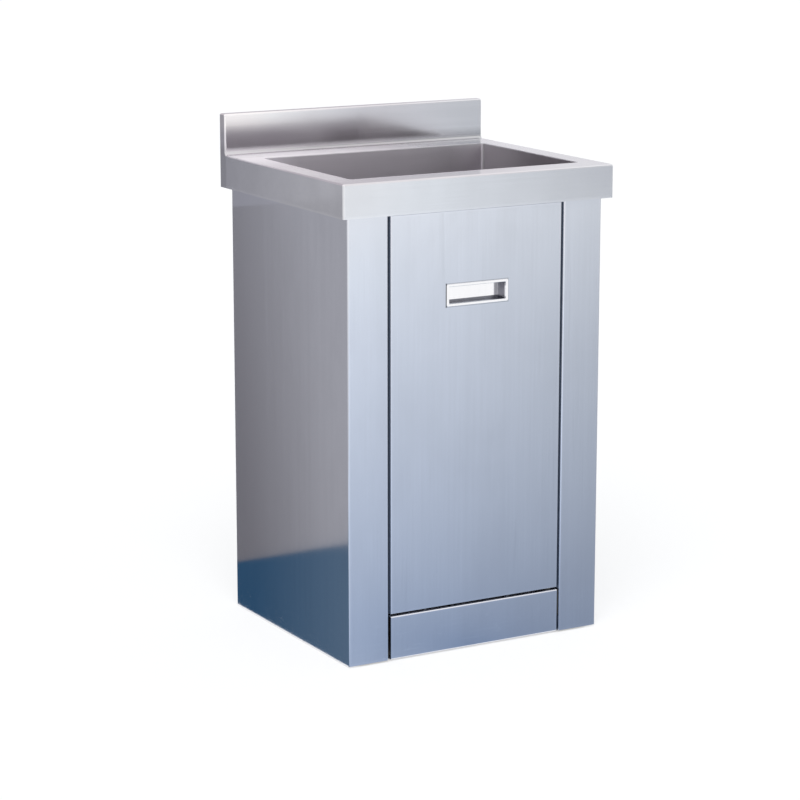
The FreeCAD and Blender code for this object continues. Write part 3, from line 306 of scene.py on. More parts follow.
def make_outline_band():
    """A band of the given Width round a box of Centre and Half sizes, from 1 at the box to 0."""
    tree, given, result = new_group(
        "outline band", {"Vector": "Vector", "Centre": "Vector", "Half": "Vector", "Width": "Float"},
        {"Band": "Float"})
    offset = vector_calc(tree, "SUBTRACT", given["Vector"], given["Centre"])
    apart = vector_calc(tree, "ABSOLUTE", offset)
    beyond = axes(tree, vector_calc(tree, "SUBTRACT", apart, given["Half"]))
    furthest = calc(tree, "MAXIMUM", calc(tree, "MAXIMUM", beyond["X"], beyond["Y"]), beyond["Z"])
    feed(tree, result["Band"], fall(tree, calc(tree, "DIVIDE", furthest, given["Width"]), 0.0, 1.0))
    return tree


def make_floor_scuffs():
    """Sparse scuffs low on the panels, from a mop or a shoe, from 0 to 1."""
    tree, given, result = new_group("floor scuffs", {"Vector": "Vector"}, {"Scuffs": "Float"})
    flattened = vector_calc(tree, "MULTIPLY", given["Vector"], (1.0, 1.0, 2.2))
    spots = rise(tree, noise(tree, flattened, 38.0, 3.0, 0.6, 0.3), 0.62, 0.74)
    level_lines = vector_calc(tree, "MULTIPLY", given["Vector"], (0.15, 0.15, 4.0))
    hairs = rise(tree, noise(tree, level_lines, 120.0, 2.0), 0.6, 0.75)
    both = calc(tree, "MAXIMUM", spots, times(tree, hairs, 0.5))
    low_down = fall(tree, axes(tree, given["Vector"])["Z"], 0.02, 0.1)
    feed(tree, result["Scuffs"], times(tree, both, low_down))
    return tree


def make_gap_fold_shade():
    """1 on the folded faces that the narrow gaps beside the door show, where shade is painted, and 0
    on the rest.
    """
    tree, given, result = new_group("gap folds", {"Vector": "Vector"}, {"Folds": "Float"})
    across = calc(tree, "ABSOLUTE", axes(tree, given["Vector"])["X"])
    from_gap = calc(tree, "ABSOLUTE", calc(tree, "SUBTRACT", across, DOOR_GAP))
    feed(tree, result["Folds"], fall(tree, from_gap, 0.0023, 0.0024))
    return tree


def make_moulded_skin():
    """Slight mottle, fine skin texture and dust of a moulded piece, each from 0 to 1."""
    tree, given, result = new_group(
        "moulded skin", {"Vector": "Vector"}, {"Mottle": "Float", "Skin": "Float", "Dust": "Float"})
    feed(tree, result["Mottle"], noise(tree, given["Vector"], 40.0, 4.0, 0.6))
    feed(tree, result["Skin"], noise(tree, given["Vector"], 1500.0, 2.0))
    feed(tree, result["Dust"], rise(tree, noise(tree, given["Vector"], 22.0, 5.0, 0.65), 0.45, 0.8))
    return tree


BRUSHING = make_brushing()
UNEVENNESS = make_unevenness()
HANDLING = make_handling()
RIM_WEAR_HIGHLIGHT = make_rim_wear_highlight()
WATER_MARKS = make_water_marks()
OUTLINE_BAND = make_outline_band()
FLOOR_SCUFFS = make_floor_scuffs()
GAP_FOLD_SHADE = make_gap_fold_shade()
MOULDED_SKIN = make_moulded_skin()


def new_material(name, **values):
    """A material, its node tree, its shader set to the values, and the piece's own coordinates."""
    material = bpy.data.materials.new(name)
    material.use_nodes = True
    tree = material.node_tree
    shader = tree.nodes["Principled BSDF"].inputs
    for label, value in values.items():
        shader[label].default_value = value
    return material, tree, shader, add(tree, "ShaderNodeTexCoord").outputs["Object"]


def set_finish(tree, shader, colour, rough, normal):
    """Feed the shader its colour, roughness and normal."""
    feed(tree, shader["Base Color"], colour)
    feed(tree, shader["Roughness"], rough)
    feed(tree, shader["Normal"], normal)


def bump(tree, height, distance, strength=1.0, under=None):
    """A normal raised by a height in metres, over another normal if one is given."""
    inputs = {"Height": height, "Distance": distance, "Strength": strength}
    if under is not None:
        inputs["Normal"] = under
    return add(tree, "ShaderNodeBump", inputs).outputs["Normal"]


def splash_painted_light(tree, spot, colour, metal):
    """Painted shade at the foot of the splashback, weaker at its ends, and a painted highlight on its
    upper left.
    """
    # Painted shade in the corner where the splashback meets the deck
    on_splash = rise(tree, spot["Y"], 0.196, 0.2015)
    foot = times(tree, on_splash, fall(tree, spot["Z"], 0.808, 0.822))
    foot = times(tree, foot, spread(tree, spot["X"], 1.0, 0.85, 0.1, 0.2))
    foot = times(tree, foot, spread(tree, spot["X"], 0.45, 1.0, -0.23, -0.08))
    metal = blend(tree, foot, metal, tone(colour, 0.62))
    # Painted highlight on the upper left of the splashback
    upper_left_highlight = times(
        tree, on_splash, rise(tree, spot["Z"], 0.835, 0.85), fall(tree, spot["X"], -0.2, 0.0))
    return blend(tree, upper_left_highlight, metal, tone(colour, 1.22))


def deck_marks_and_light(tree, place, colour, metal, rough):
    """Painted highlight round the bowl rim and on the rear deck, ground weld, painted light on the
    splashback and a faint warm cast.
    """
    spot = axes(tree, place)
    rim = use_group(
        tree, OUTLINE_BAND, Vector=place, Centre=BOWL_CENTRE, Half=BOWL_HALF, Width=0.005)["Band"]
    on_deck = rise(tree, spot["Z"], 0.796, 0.799)
    aside = rise(tree, calc(tree, "ABSOLUTE", spot["X"]), 0.213, 0.217)
    beside = times(tree, aside, rise(tree, spot["Y"], -0.05, 0.12))
    behind = calc(tree, "MAXIMUM", beside, rise(tree, spot["Y"], 0.13, 0.134))
    rear_sheen = times(tree, behind, fall(tree, spot["Y"], 0.188, 0.198), on_deck)
    # Painted highlight: the band round the bowl and the rear deck strip are lightened, and made
    # rougher
    bright = calc(tree, "MAXIMUM", times(tree, rim, 0.8), rear_sheen)
    metal = blend(tree, bright, metal, tone(colour, 1.17))
    rough = more(tree, rough, rim, 0.25)
    rough = more(tree, rough, rear_sheen, spread(tree, spot["X"], 0.35, 0.05, -0.15, 0.2))
    from_weld = calc(tree, "ABSOLUTE", calc(tree, "SUBTRACT", spot["Y"], WELD_LINE))
    ragged = calc(tree, "MULTIPLY_ADD", noise(tree, place, 90.0, 3.0), 0.003, 0.001)
    weld = spread(tree, calc(tree, "DIVIDE", from_weld, ragged), 0.55, 0.0)
    weld = times(tree, weld, on_deck)
    metal = blend(tree, weld, metal, tone(colour, 0.7))
    metal = splash_painted_light(tree, spot, colour, metal)
    warm = times(tree, on_deck, fall(tree, spot["X"], 0.05, 0.22))
    metal = blend(tree, warm, metal, WARM_CAST, "MULTIPLY")
    return metal, more(tree, rough, weld, 0.12)


def pull_edge_shadow(tree, place, colour, metal, rough):
    """Painted shadow: a dark line along the pull's flange, heaviest at its left end, and rougher
    there.
    """
    band = use_group(
        tree, OUTLINE_BAND, Vector=place, Centre=PULL_CENTRE, Half=PULL_HALF, Width=0.0018)["Band"]
    by_left_end = spread(tree, axes(tree, place)["X"], 1.0, 0.18, -0.0585, -0.057)
    # Painted shadow line beside the flange, darkest at its left end
    edge_shadow = calc(tree, "POWER", times(tree, band, by_left_end), 0.6)
    return blend(tree, edge_shadow, metal, EDGE_SHADOW_TONE), more(tree, rough, edge_shadow, 0.3)


def low_scuffs(tree, place, colour, metal, rough):
    """Pale scuffs on the lowest part of a panel."""
    scuffs = use_group(tree, FLOOR_SCUFFS, Vector=place)["Scuffs"]
    metal = blend(tree, times(tree, scuffs, 0.6), metal, tone(colour, 1.15))
    return metal, more(tree, rough, scuffs, 0.22)


def bowl_marks_and_light(tree, place, colour, metal, rough):
    """Dried drops of water, a painted highlight on the back wall near its ends and painted shade on
    the end walls.
    """
    marks = use_group(tree, WATER_MARKS, Vector=place, Scale=130.0)["Marks"]
    metal = blend(tree, times(tree, marks, 0.14), metal, tone(colour, 0.8))
    spot = axes(tree, place)
    aside = calc(tree, "ABSOLUTE", spot["X"])
    # Painted highlight on the back wall near its ends
    corners = times(tree, rise(tree, aside, 0.15, 0.214), rise(tree, spot["Y"], 0.1305, 0.1325))
    metal = blend(tree, corners, metal, tone(colour, 1.35))
    # Painted shade: the end walls of the bowl are darkened
    metal = blend(tree, rise(tree, aside, 0.2145, 0.2165), metal, tone(colour, 0.68))
    return metal, more(tree, rough, marks, 0.07)


def drawn_along(axis, share):
    """How a pattern is squeezed so that it runs out along an axis."""
    return tuple(share if name == axis else 1.0 for name in "XYZ")


def brushed_sheet(node, colour, along, roughness, drawn, rubbed_highlight, marks):
    """Brushed stainless sheet of one folded piece, with worn bends brightened by a painted highlight,
    smears and slight waves.
    """
    material, tree, shader, place = new_material(node + "_steel", Metallic=1.0, Anisotropic=drawn)
    brushing = use_group(tree, BRUSHING, Vector=place, Stretch=drawn_along(along, 0.006))
    uneven = use_group(tree, UNEVENNESS, Vector=place, Stretch=drawn_along(along, 0.03))
    smears = use_group(tree, HANDLING, Vector=place, Scale=5.0)["Smears"]
    low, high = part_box(node)
    wear_highlight = use_group(tree, RIM_WEAR_HIGHLIGHT, Vector=place, Low=low, High=high, Reach=0.006)["Wear"]
    streaks = more(tree, times(tree, brushing["Lines"], 0.7), brushing["Bands"], 0.3)
    metal = blend(tree, rise(tree, streaks, 0.25, 0.75), tone(colour, 0.95), tone(colour, 1.04))
    metal = blend(tree, times(tree, uneven["Runs"], 0.3), metal, tone(colour, 0.8))
    metal = blend(tree, times(tree, smears, 0.5), metal, tone(colour, 0.9))
    # Worn bends, lightened as a painted highlight along the bends
    metal = blend(tree, times(tree, wear_highlight, rubbed_highlight), metal, tone(colour, 1.12))
    rough = spread(tree, streaks, 0.85 * roughness, 1.15 * roughness, 0.2, 0.8)
    rough = more(tree, more(tree, rough, smears, 0.03), wear_highlight, 0.04)
    if marks:
        metal, rough = marks(tree, place, colour, metal, rough)
    # Painted shade: the folded faces in the door gaps take a bluish dark tone, and are rougher
    if along == "Z":
        folds = use_group(tree, GAP_FOLD_SHADE, Vector=place)["Folds"]
        metal = blend(tree, folds, metal, GAP_SHADE_TONE)
        rough = more(tree, rough, folds, 0.5)
    wavy = bump(tree, uneven["Waves"], 0.0008)
    set_finish(tree, shader, metal, rough, bump(tree, brushing["Lines"], 0.00001, 0.4, wavy))
    crosswise = add(tree, "ShaderNodeTangent", direction_type="RADIAL", axis=along)
    feed(tree, shader["Tangent"], crosswise.outputs["Tangent"])
    return material


def mill_steel():
    """Dull rolled sheet of the hidden pieces, with roll lines and faint blotches."""
    material, tree, shader, place = new_material("mill_steel", Metallic=1.0)
    rolled = use_group(tree, BRUSHING, Vector=place, Stretch=(0.7, 0.7, 0.02))
    blotches = rise(tree, noise(tree, place, 9.0, 4.0, 0.55), 0.3, 0.7)
    metal = blend(tree, blotches, (0.55, 0.56, 0.58, 1), (0.62, 0.63, 0.65, 1))
    metal = blend(tree, times(tree, rolled["Lines"], 0.4), metal, (0.68, 0.69, 0.7, 1))
    rough = spread(tree, rolled["Bands"], 0.36, 0.44, 0.3, 0.7)
    set_finish(tree, shader, metal, rough, bump(tree, rolled["Lines"], 0.00001, 0.5))
    return material


def zinc_plate():
    """Zinc plating with small crystal spangle and a faint straw tinge."""
    material, tree, shader, place = new_material("zinc_plate", Metallic=1.0)
    spangle = add(tree, "ShaderNodeTexVoronoi", {"Vector": place, "Scale": 420.0}).outputs["Color"]
    shade = add(tree, "ShaderNodeSeparateColor", {0: spangle}).outputs[0]
    dull = noise(tree, place, 70.0, 4.0, 0.6)
    metal = blend(tree, shade, (0.52, 0.54, 0.57, 1), (0.7, 0.71, 0.7, 1))
    metal = blend(tree, spread(tree, dull, 0.0, 0.5, 0.5, 0.8), metal, (0.62, 0.58, 0.47, 1))
    rough = spread(tree, shade, 0.26, 0.42)
    set_finish(tree, shader, metal, rough, bump(tree, dull, 0.00004, 0.4))
    return material


def drain_plate():
    """Polished metal of the strainer, with hairline scratches, smears and dried drops."""
    material, tree, shader, place = new_material("bright_drain_plate", Metallic=1.0)
    scratches = use_group(tree, BRUSHING, Vector=place, Stretch=(0.03, 0.6, 1.0))["Lines"]
    smears = use_group(tree, HANDLING, Vector=place, Scale=28.0)["Smears"]
    marks = use_group(tree, WATER_MARKS, Vector=place, Scale=140.0)["Marks"]
    metal = blend(tree, times(tree, smears, 0.5), tone(DRAIN_STEEL, 1.0), tone(DRAIN_STEEL, 0.88))
    metal = blend(tree, times(tree, marks, 0.4), metal, tone(DRAIN_STEEL, 0.75))
    rough = more(tree, spread(tree, scratches, 0.14, 0.2, 0.35, 0.7), smears, 0.08)
    set_finish(tree, shader, metal, rough, bump(tree, scratches, 0.000004, 0.4))
    return material


def pull_plate():
    """Polished flange and back of the recessed pull, with painted shade on the drawn walls between
    them, which are also rougher.
    """
    material, tree, shader, place = new_material("bright_pull_plate", Metallic=1.0)
    spot = axes(tree, place)
    depth = calc(tree, "SUBTRACT", spot["Y"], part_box("pull_cup")[0].y)
    walls = times(tree, rise(tree, depth, 0.002, 0.004), fall(tree, depth, 0.01985, 0.02005))
    clouds = noise(tree, place, 90.0, 4.0, 0.6)
    scratches = use_group(tree, BRUSHING, Vector=place, Stretch=(0.03, 1.0, 1.0))["Lines"]
    smears = use_group(tree, HANDLING, Vector=place, Scale=28.0)["Smears"]
    plate = blend(tree, times(tree, smears, 0.4), (0.96, 0.96, 0.98, 1), (0.88, 0.89, 0.91, 1))
    # Painted shade: the walls inside the recess are darkened
    dull = blend(tree, clouds, (0.17, 0.17, 0.2, 1), (0.34, 0.34, 0.38, 1))
    rough = more(tree, spread(tree, scratches, 0.08, 0.15, 0.35, 0.7), walls, 0.25)
    tilted = bump(tree, times(tree, spot["Z"], -0.14), 1.0)
    normal = bump(tree, scratches, 0.000004, 0.4, tilted)
    set_finish(tree, shader, blend(tree, walls, plate, dull), rough, normal)
    return material


def moulded(name, colour, roughness, mottle, dusty):
    """Moulded plastic or rubber with a fine skin texture, slight mottle and dust."""
    material, tree, shader, place = new_material(name)
    skin = use_group(tree, MOULDED_SKIN, Vector=place)
    body = blend(tree, skin["Mottle"], tone(colour, 1.0 - mottle), tone(colour, 1.0 + mottle))
    body = blend(tree, times(tree, skin["Dust"], dusty), body, GREY_DUST)
    rough = spread(tree, skin["Mottle"], roughness - 0.06, roughness + 0.08, 0.3, 0.7)
    set_finish(tree, shader, body, rough, bump(tree, skin["Skin"], 0.00003, 0.5))
    return material


def hinge_gap_shade():
    """Near-black finish of the lower hinge, dusty in patches: painted shade, so that the gap beside
    the door shows dark.
    """
    material, tree, shader, place = new_material("hinge_gap_shade_steel")
    grains = noise(tree, place, 900.0, 3.0, 0.7)
    dust = spread(tree, noise(tree, place, 60.0, 4.0), 0.0, 0.25, 0.5, 0.8)
    hinge_dark = blend(tree, grains, (0.018, 0.018, 0.02, 1), (0.045, 0.045, 0.048, 1))
    hinge_dark = blend(tree, dust, hinge_dark, (0.11, 0.105, 0.1, 1))
    set_finish(tree, shader, hinge_dark, spread(tree, grains, 0.5, 0.72), bump(tree, grains, 0.00003, 0.5))
    return material


def sintered():
    """Grainy grey-black magnet."""
    material, tree, shader, place = new_material("ferrite_grain")
    grains = noise(tree, place, 2200.0, 3.0, 0.7)
    body = blend(tree, grains, (0.03, 0.03, 0.035, 1), (0.12, 0.12, 0.125, 1))
    set_finish(tree, shader, body, spread(tree, grains, 0.45, 0.7), bump(tree, grains, 0.00005, 0.6))
    return material


# Brushed pieces: colour, axis of the brushing, roughness, how drawn-out the gloss is, how worn and
# brightened by a painted highlight the bends are, and the piece's own marks and painted light
BRUSHED = {
    "sink_top": (DECK_STEEL, "X", 0.12, 0.5, 0.6, deck_marks_and_light),
    "bowl": (BOWL_STEEL, "X", 0.34, 0.7, 0.0, bowl_marks_and_light),
    "left_side_panel": (COOL_STEEL, "Z", 0.095, 1.0, 0.6, low_scuffs),
    "right_side_panel": (COOL_STEEL, "Z", 0.095, 1.0, 0.6, low_scuffs),
    "front_rail": (COOL_STEEL, "X", 0.2, 0.8, 0.6, None),
    "kick_panel": (COOL_STEEL, "Z", 0.095, 1.0, 0.6, low_scuffs),
    "door_skin": (COOL_STEEL, "Z", 0.095, 1.0, 0.6, pull_edge_shadow),
}
# Lower hinge parts, painted near black as shade in the gap beside the door
GAP_SHADE_HINGE = ("bottom_hinge_bracket", "bottom_hinge_pin", "bottom_hinge_screws")
SLOTS = {row["node"]: row["material_slot"] for row in frame["record"]["subparts"]}


def dress_cad_nodes():
    """Give every CAD node the finish of its slot, each brushed piece a finish of its own, and the
    lower hinge a near-black painted shade.
    """
    finishes = {
        "inner_steel": mill_steel(),
        "zinc_steel": zinc_plate(),
        "bright_pull": pull_plate(),
        "bright_drain": drain_plate(),
        "black_rubber": moulded("black_rubber_skin", (0.03, 0.03, 0.032), 0.62, 0.25, 0.12),
        "nylon": moulded("nylon_skin", (0.8, 0.8, 0.76), 0.42, 0.04, 0.04),
        "dark_plastic": moulded("dark_plastic_skin", (0.06, 0.06, 0.065), 0.48, 0.2, 0.08),
        "white_pipe": moulded("white_pipe_skin", (0.84, 0.84, 0.82), 0.28, 0.03, 0.06),
        "ferrite": sintered(),
    }
    dark = hinge_gap_shade()
    for node, slot in SLOTS.items():
        if node in BRUSHED:
            chosen = brushed_sheet(node, *BRUSHED[node])
        elif node in GAP_SHADE_HINGE:
            chosen = dark
        else:
            chosen = finishes[slot]
        piece = frame["nodes"][node]
        piece.data.materials.clear()
        piece.data.materials.append(chosen)


def turned(profile, steps, closed):
    """A shape turned about local Z from (radius, height) points; a closed outline makes a ring."""
    shape = bmesh.new()
    points = [shape.verts.new((radius, 0.0, height)) for radius, height in profile]
    after = points[1:] + points[:1] if closed else points[1:]
    edges = [shape.edges.new(pair) for pair in zip(points, after)]
    bmesh.ops.spin(
        shape, geom=points + edges, cent=(0, 0, 0), axis=UP, dvec=(0, 0, 0),
        angle=math.tau, steps=steps, use_merge=True, use_duplicate=False)
    bmesh.ops.remove_doubles(shape, verts=shape.verts[:], dist=1e-6)
    bmesh.ops.recalc_face_normals(shape, faces=shape.faces[:])
    return shape


def cross_head_screw(length):
    """A pan head with a cross recess on a blunt shank; the head stands on the local XY plane."""
    shape = turned([
        (0.62 * HEAD, RISE), (0.84 * HEAD, 0.88 * RISE), (0.96 * HEAD, 0.6 * RISE),
        (HEAD, 0.25 * RISE), (HEAD, 0.0), (SHANK, 0.0), (SHANK, SHANK - length),
        (0.6 * SHANK, -length), (0.0, -length)], 32, False)
    rim = [edge for edge in shape.edges if edge.is_boundary]
    arm = 0.5 * HEAD
    half = 0.13 * HEAD
    outline = []
    for turn in range(4):
        for x, y in ((arm, -half), (arm, half), (half, half)):
            for _ in range(turn):
                x, y = -y, x
            outline.append((x, y))
    points = [shape.verts.new((x, y, RISE)) for x, y in outline]
    cross = [shape.edges.new(pair) for pair in zip(points, points[1:] + points[:1])]
    bmesh.ops.triangle_fill(shape, use_beauty=True, use_dissolve=False, edges=rim + cross)
    sunk = bmesh.ops.extrude_edge_only(shape, edges=cross)["geom"]
    bottom = [part for part in sunk if isinstance(part, bmesh.types.BMVert)]
    bmesh.ops.translate(shape, verts=bottom, vec=(0, 0, -0.6 * RISE))
    loop = [part for part in sunk if isinstance(part, bmesh.types.BMEdge)]
    bmesh.ops.contextual_create(shape, geom=loop)
    bmesh.ops.recalc_face_normals(shape, faces=shape.faces[:])
    return shape


def hexagon_nut(corner, bore, height):
    """A six-sided nut with its corners turned off at both ends, corners towards X."""
    flat = corner * math.cos(math.radians(30))
    chamfer = 0.8 * (corner - flat)
    shape = turned([
        (bore, 0.0), (corner, 0.0), (corner, chamfer), (corner, height - chamfer),
        (corner, height), (bore, height)], 72, True)
    for vert in shape.verts:
        out = vert.co.xy.length
        if out > 0.999 * corner:
            angle = math.atan2(vert.co.y, vert.co.x) % math.radians(60)
            reach = flat / math.cos(angle - math.radians(30))
            if min(vert.co.z, height - vert.co.z) < 0.5 * chamfer:
                reach = min(reach, 1.02 * flat)
            vert.co.xy *= reach / out
    return shape


def ribbed_nut(radius, bore, neck_bore, lip, height, ribs):
    """A hand-tightened nut: grip ribs outside, and a lip at the foot that holds the pipe's collar."""
    shape = turned([
        (neck_bore, 0.0), (0.93 * radius, 0.0), (radius, 0.0015), (radius, height - 0.003),
        (0.95 * radius, height - 0.002), (0.95 * radius, height), (bore, height), (bore, lip),
        (neck_bore, lip)], 4 * ribs, True)
    for vert in shape.verts:
        step = round(math.atan2(vert.co.y, vert.co.x) / math.tau * 4 * ribs)
        if vert.co.xy.length > 0.999 * radius and step % 4 > 1:
            vert.co.xy *= 0.955
    return shape


def threaded_rod(radius, height, pitch):
    """A rod with thread ridges and turned-down ends."""
    root = radius - 0.55 * pitch
    profile = [(0.0, 0.0), (root, 0.0)]
    for turn in range(int(height / pitch)):
        for out, share in ((root, 0.2), (radius, 0.5), (root, 0.8)):
            profile.append((out, (turn + share) * pitch))
    profile += [(root, height), (0.0, height)]
    return turned(profile, 32, False)


def rubber_button(radius, height):
    """A round rubber bumper with a soft edge and a slightly dished face."""
    return turned([
        (0.0, 0.0), (radius, 0.0), (radius, 0.62 * height), (0.95 * radius, 0.82 * height),
        (0.8 * radius, 0.95 * height), (0.6 * radius, height), (0.3 * radius, 0.97 * height),
        (0.0, 0.96 * height)], 40, False)


def stand_for(node, shape, spots, out=UP):
    """Show copies of a shape for a CAD node, local Z outwards, on its body and in its finish."""
    pattern = bpy.data.meshes.new("pattern")
    shape.to_mesh(pattern)
    shape.free()
    turn = Vector(UP).rotation_difference(Vector(out)).to_matrix().to_4x4()
    joined = bmesh.new()
    for spot in spots:
        start = len(joined.verts)
        joined.from_mesh(pattern)
        joined.verts.ensure_lookup_table()
        place = Matrix.Translation(spot) @ turn
        bmesh.ops.transform(joined, matrix=place, verts=joined.verts[start:])
    bpy.data.meshes.remove(pattern)
    cad = frame["nodes"][node]
    mesh = bpy.data.meshes.new(node + "_detail")
    joined.to_mesh(mesh)
    joined.free()
    mesh.shade_smooth()
    mesh.set_sharp_from_angle(angle=math.radians(32))
    mesh.materials.append(cad.data.materials[0])
    piece = bpy.data.objects.new(node + "_detail", mesh)
    bpy.context.scene.collection.objects.link(piece)
    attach(piece, cad["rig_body"])
    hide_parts(node)


def make_screws():
    """Cross-head screws, each head against its sheet."""
    low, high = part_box("back_screws")
    rows = (low.z + HEAD, (low.z + high.z) / 2, high.z - HEAD)
    spots = [(x, high.y - RISE, z) for x in (low.x + HEAD, high.x - HEAD) for z in rows]
    stand_for("back_screws", cross_head_screw(SHORT), spots, (0, 1, 0))
    low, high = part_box("shelf_screws")
    level = high.z - RISE
    depths = (SHELF_SIDE_FRONT, high.y - HEAD)
    spots = [(x, y, level) for x in (low.x + HEAD, high.x - HEAD) for y in depths]
    spots += [(x, low.y + HEAD, level) for x in (-SHELF_FRONT_ASIDE, SHELF_FRONT_ASIDE)]
    stand_for("shelf_screws", cross_head_screw(SHORT), spots)
    low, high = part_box("bottom_hinge_screws")
    spots = [(low.x + RISE, low.y + HEAD, z) for z in (low.z + HEAD, high.z - HEAD)]
    stand_for("bottom_hinge_screws", cross_head_screw(SHORT), spots, (-1, 0, 0))
    low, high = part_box("catch_screws")
    spots = [(high.x - RISE, low.y + HEAD, z) for z in (low.z + HEAD, high.z - HEAD)]
    stand_for("catch_screws", cross_head_screw(LONG), spots, (1, 0, 0))
    low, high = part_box("strike_screws")
    spots = [(low.x + HEAD, high.y - RISE, z) for z in (low.z + HEAD, high.z - HEAD)]
    stand_for("strike_screws", cross_head_screw(SHORT), spots, (0, 1, 0))


def make_nuts():
    """Pipe nuts, the strainer's lock nut, and the nuts of the studs and feet."""
    bores = {"trap_inlet_nut": TRAP_BORE, "trap_outlet_nut": TRAP_BORE, "drain_lock_nut": DRAIN_BORE}
    for node, bore in bores.items():
        low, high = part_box(node)
        nut = hexagon_nut(high.x, bore, high.z - low.z)
        stand_for(node, nut, [(0.0, (low.y + high.y) / 2, low.z)])
    low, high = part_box("tail_nut")
    nut = ribbed_nut(high.x, TAIL_BORE, TRAP_BORE, TAIL_LIP, high.z - low.z, TAIL_RIBS)
    stand_for("tail_nut", nut, [(0.0, (low.y + high.y) / 2, low.z)])
    for node, (corner, bore) in (("deck_nuts", DECK_NUT), ("foot_nuts", FOOT_NUT)):
        low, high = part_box(node)
        flat = corner * math.cos(math.radians(30))
        depths = (low.y + flat, high.y - flat)
        spots = [(x, y, low.z) for x in (low.x + corner, high.x - corner) for y in depths]
        stand_for(node, hexagon_nut(corner, bore, high.z - low.z), spots)


def make_rods_and_bumpers():
    """Threaded studs and foot stems, and the door's rubber bumpers."""
    low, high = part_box("deck_studs")
    depths = (low.y + STUD_RADIUS, high.y - STUD_RADIUS)
    spots = [(x, y, low.z) for x in (low.x + STUD_RADIUS, high.x - STUD_RADIUS) for y in depths]
    stand_for("deck_studs", threaded_rod(STUD_RADIUS, high.z - low.z, STUD_PITCH), spots)
    for corner in ("front_left", "front_right", "rear_left", "rear_right"):
        low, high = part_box("foot_stem_" + corner)
        rod = threaded_rod((high.x - low.x) / 2, high.z - low.z, STEM_PITCH)
        spot = ((low.x + high.x) / 2, (low.y + high.y) / 2, low.z)
        stand_for("foot_stem_" + corner, rod, [spot])
    low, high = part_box("door_bumpers")
    level = (low.z + high.z) / 2
    spots = [(x, high.y, level) for x in (low.x + BUMPER_RADIUS, high.x - BUMPER_RADIUS)]
    stand_for("door_bumpers", rubber_button(BUMPER_RADIUS, high.y - low.y), spots, (0, -1, 0))


def flat_sheet(name, corners, material):
    """A flat four-cornered piece of the studio."""
    shape = bmesh.new()
    bmesh.ops.contextual_create(shape, geom=[shape.verts.new(corner) for corner in corners])
    mesh = bpy.data.meshes.new(name)
    shape.to_mesh(mesh)
    shape.free()
    mesh.materials.append(material)
    sheet = bpy.data.objects.new(name, mesh)
    bpy.context.scene.collection.objects.link(sheet)
    return sheet


def lying(left, right, front, rear, level=CARD_LIFT):
    """The corners of a level sheet."""
    return [(left, front, level), (right, front, level), (right, rear, level), (left, rear, level)]


def upright(left, right, foot, top):
    """The corners of an upright sheet between two (x, y) places."""
    return [(*left, foot), (*right, foot), (*right, top), (*left, top)]


def bare_material(name):
    """A material without a shader, its node tree and the socket that its surface goes to."""
    material = bpy.data.materials.new(name)
    material.use_nodes = True
    tree = material.node_tree
    tree.nodes.remove(tree.nodes["Principled BSDF"])
    return material, tree, tree.nodes["Material Output"].inputs["Surface"]


def seen_by(tree):
    """1 on rays from the camera, from gloss and through glass, and 0 on the rest."""
    path = add(tree, "ShaderNodeLightPath").outputs
    direct = calc(tree, "MAXIMUM", path["Is Camera Ray"], path["Is Glossy Ray"])
    return calc(tree, "MAXIMUM", direct, path["Is Transmission Ray"])


def make_floor():
    """Wide pale floor that shows near white and keeps the object's shadow."""
    material, tree, surface = bare_material("pale_floor")
    matt = add(tree, "ShaderNodeBsdfDiffuse", {"Color": (0.5, 0.5, 0.5, 1)})
    place = add(tree, "ShaderNodeTexCoord").outputs["Object"]
    apart = vector_calc(tree, "ABSOLUTE", place)
    beyond = axes(tree, vector_calc(tree, "SUBTRACT", apart, CABINET_HALF))
    furthest = calc(tree, "MAXIMUM", beyond["X"], beyond["Y"])
    # Painted shade under the cabinet: the floor's glow fades out within the cabinet's footprint
    open_floor = spread(tree, furthest, 0.0, 0.57, -0.03, 0.0)
    lift = add(tree, "ShaderNodeEmission", {"Strength": times(tree, seen_by(tree), open_floor)})
    both = add(tree, "ShaderNodeAddShader", {0: matt.outputs[0], 1: lift.outputs[0]})
    feed(tree, surface, both.outputs[0])
    corners = lying(-FLOOR_REACH, FLOOR_REACH, -FLOOR_REACH, FLOOR_REACH, 0.0)
    flat_sheet("floor", corners, material)


def fade(tree, place, near, far, start, end):
    """A colour that turns from near at the start point to far at the end point."""
    run = Vector(end) - Vector(start)
    offset = vector_calc(tree, "SUBTRACT", place, start)
    share = vector_node(tree, "DOT_PRODUCT", offset, run / run.length_squared)["Value"]
    return blend(tree, share, tone(near, 1.0), tone(far, 1.0))


def floor_glow(tree, place):
    """The lit floor that the back and right mirror: dim at the foot and paler further out."""
    reach = calc(tree, "SQRT", vector_node(tree, "LENGTH", place)["Value"])
    return blend(tree, rise(tree, reach, 0.45, 3.0), (0.28, 0.3, 0.35, 1), WHITE)


def side_sheen(tree, place):
    """The shaded floor, dark blue, that the left side mirrors, which turns into the lit floor further
    out.
    """
    blue = fade(
        tree, place, (0.03, 0.08, 0.15), (0.095, 0.15, 0.22), (-0.27, 0.2, 0.0), (-0.423, 0.117, 0.0))
    far_out = fall(tree, axes(tree, place)["X"], -1.3, -0.7)
    return blend(tree, far_out, blue, floor_glow(tree, place))


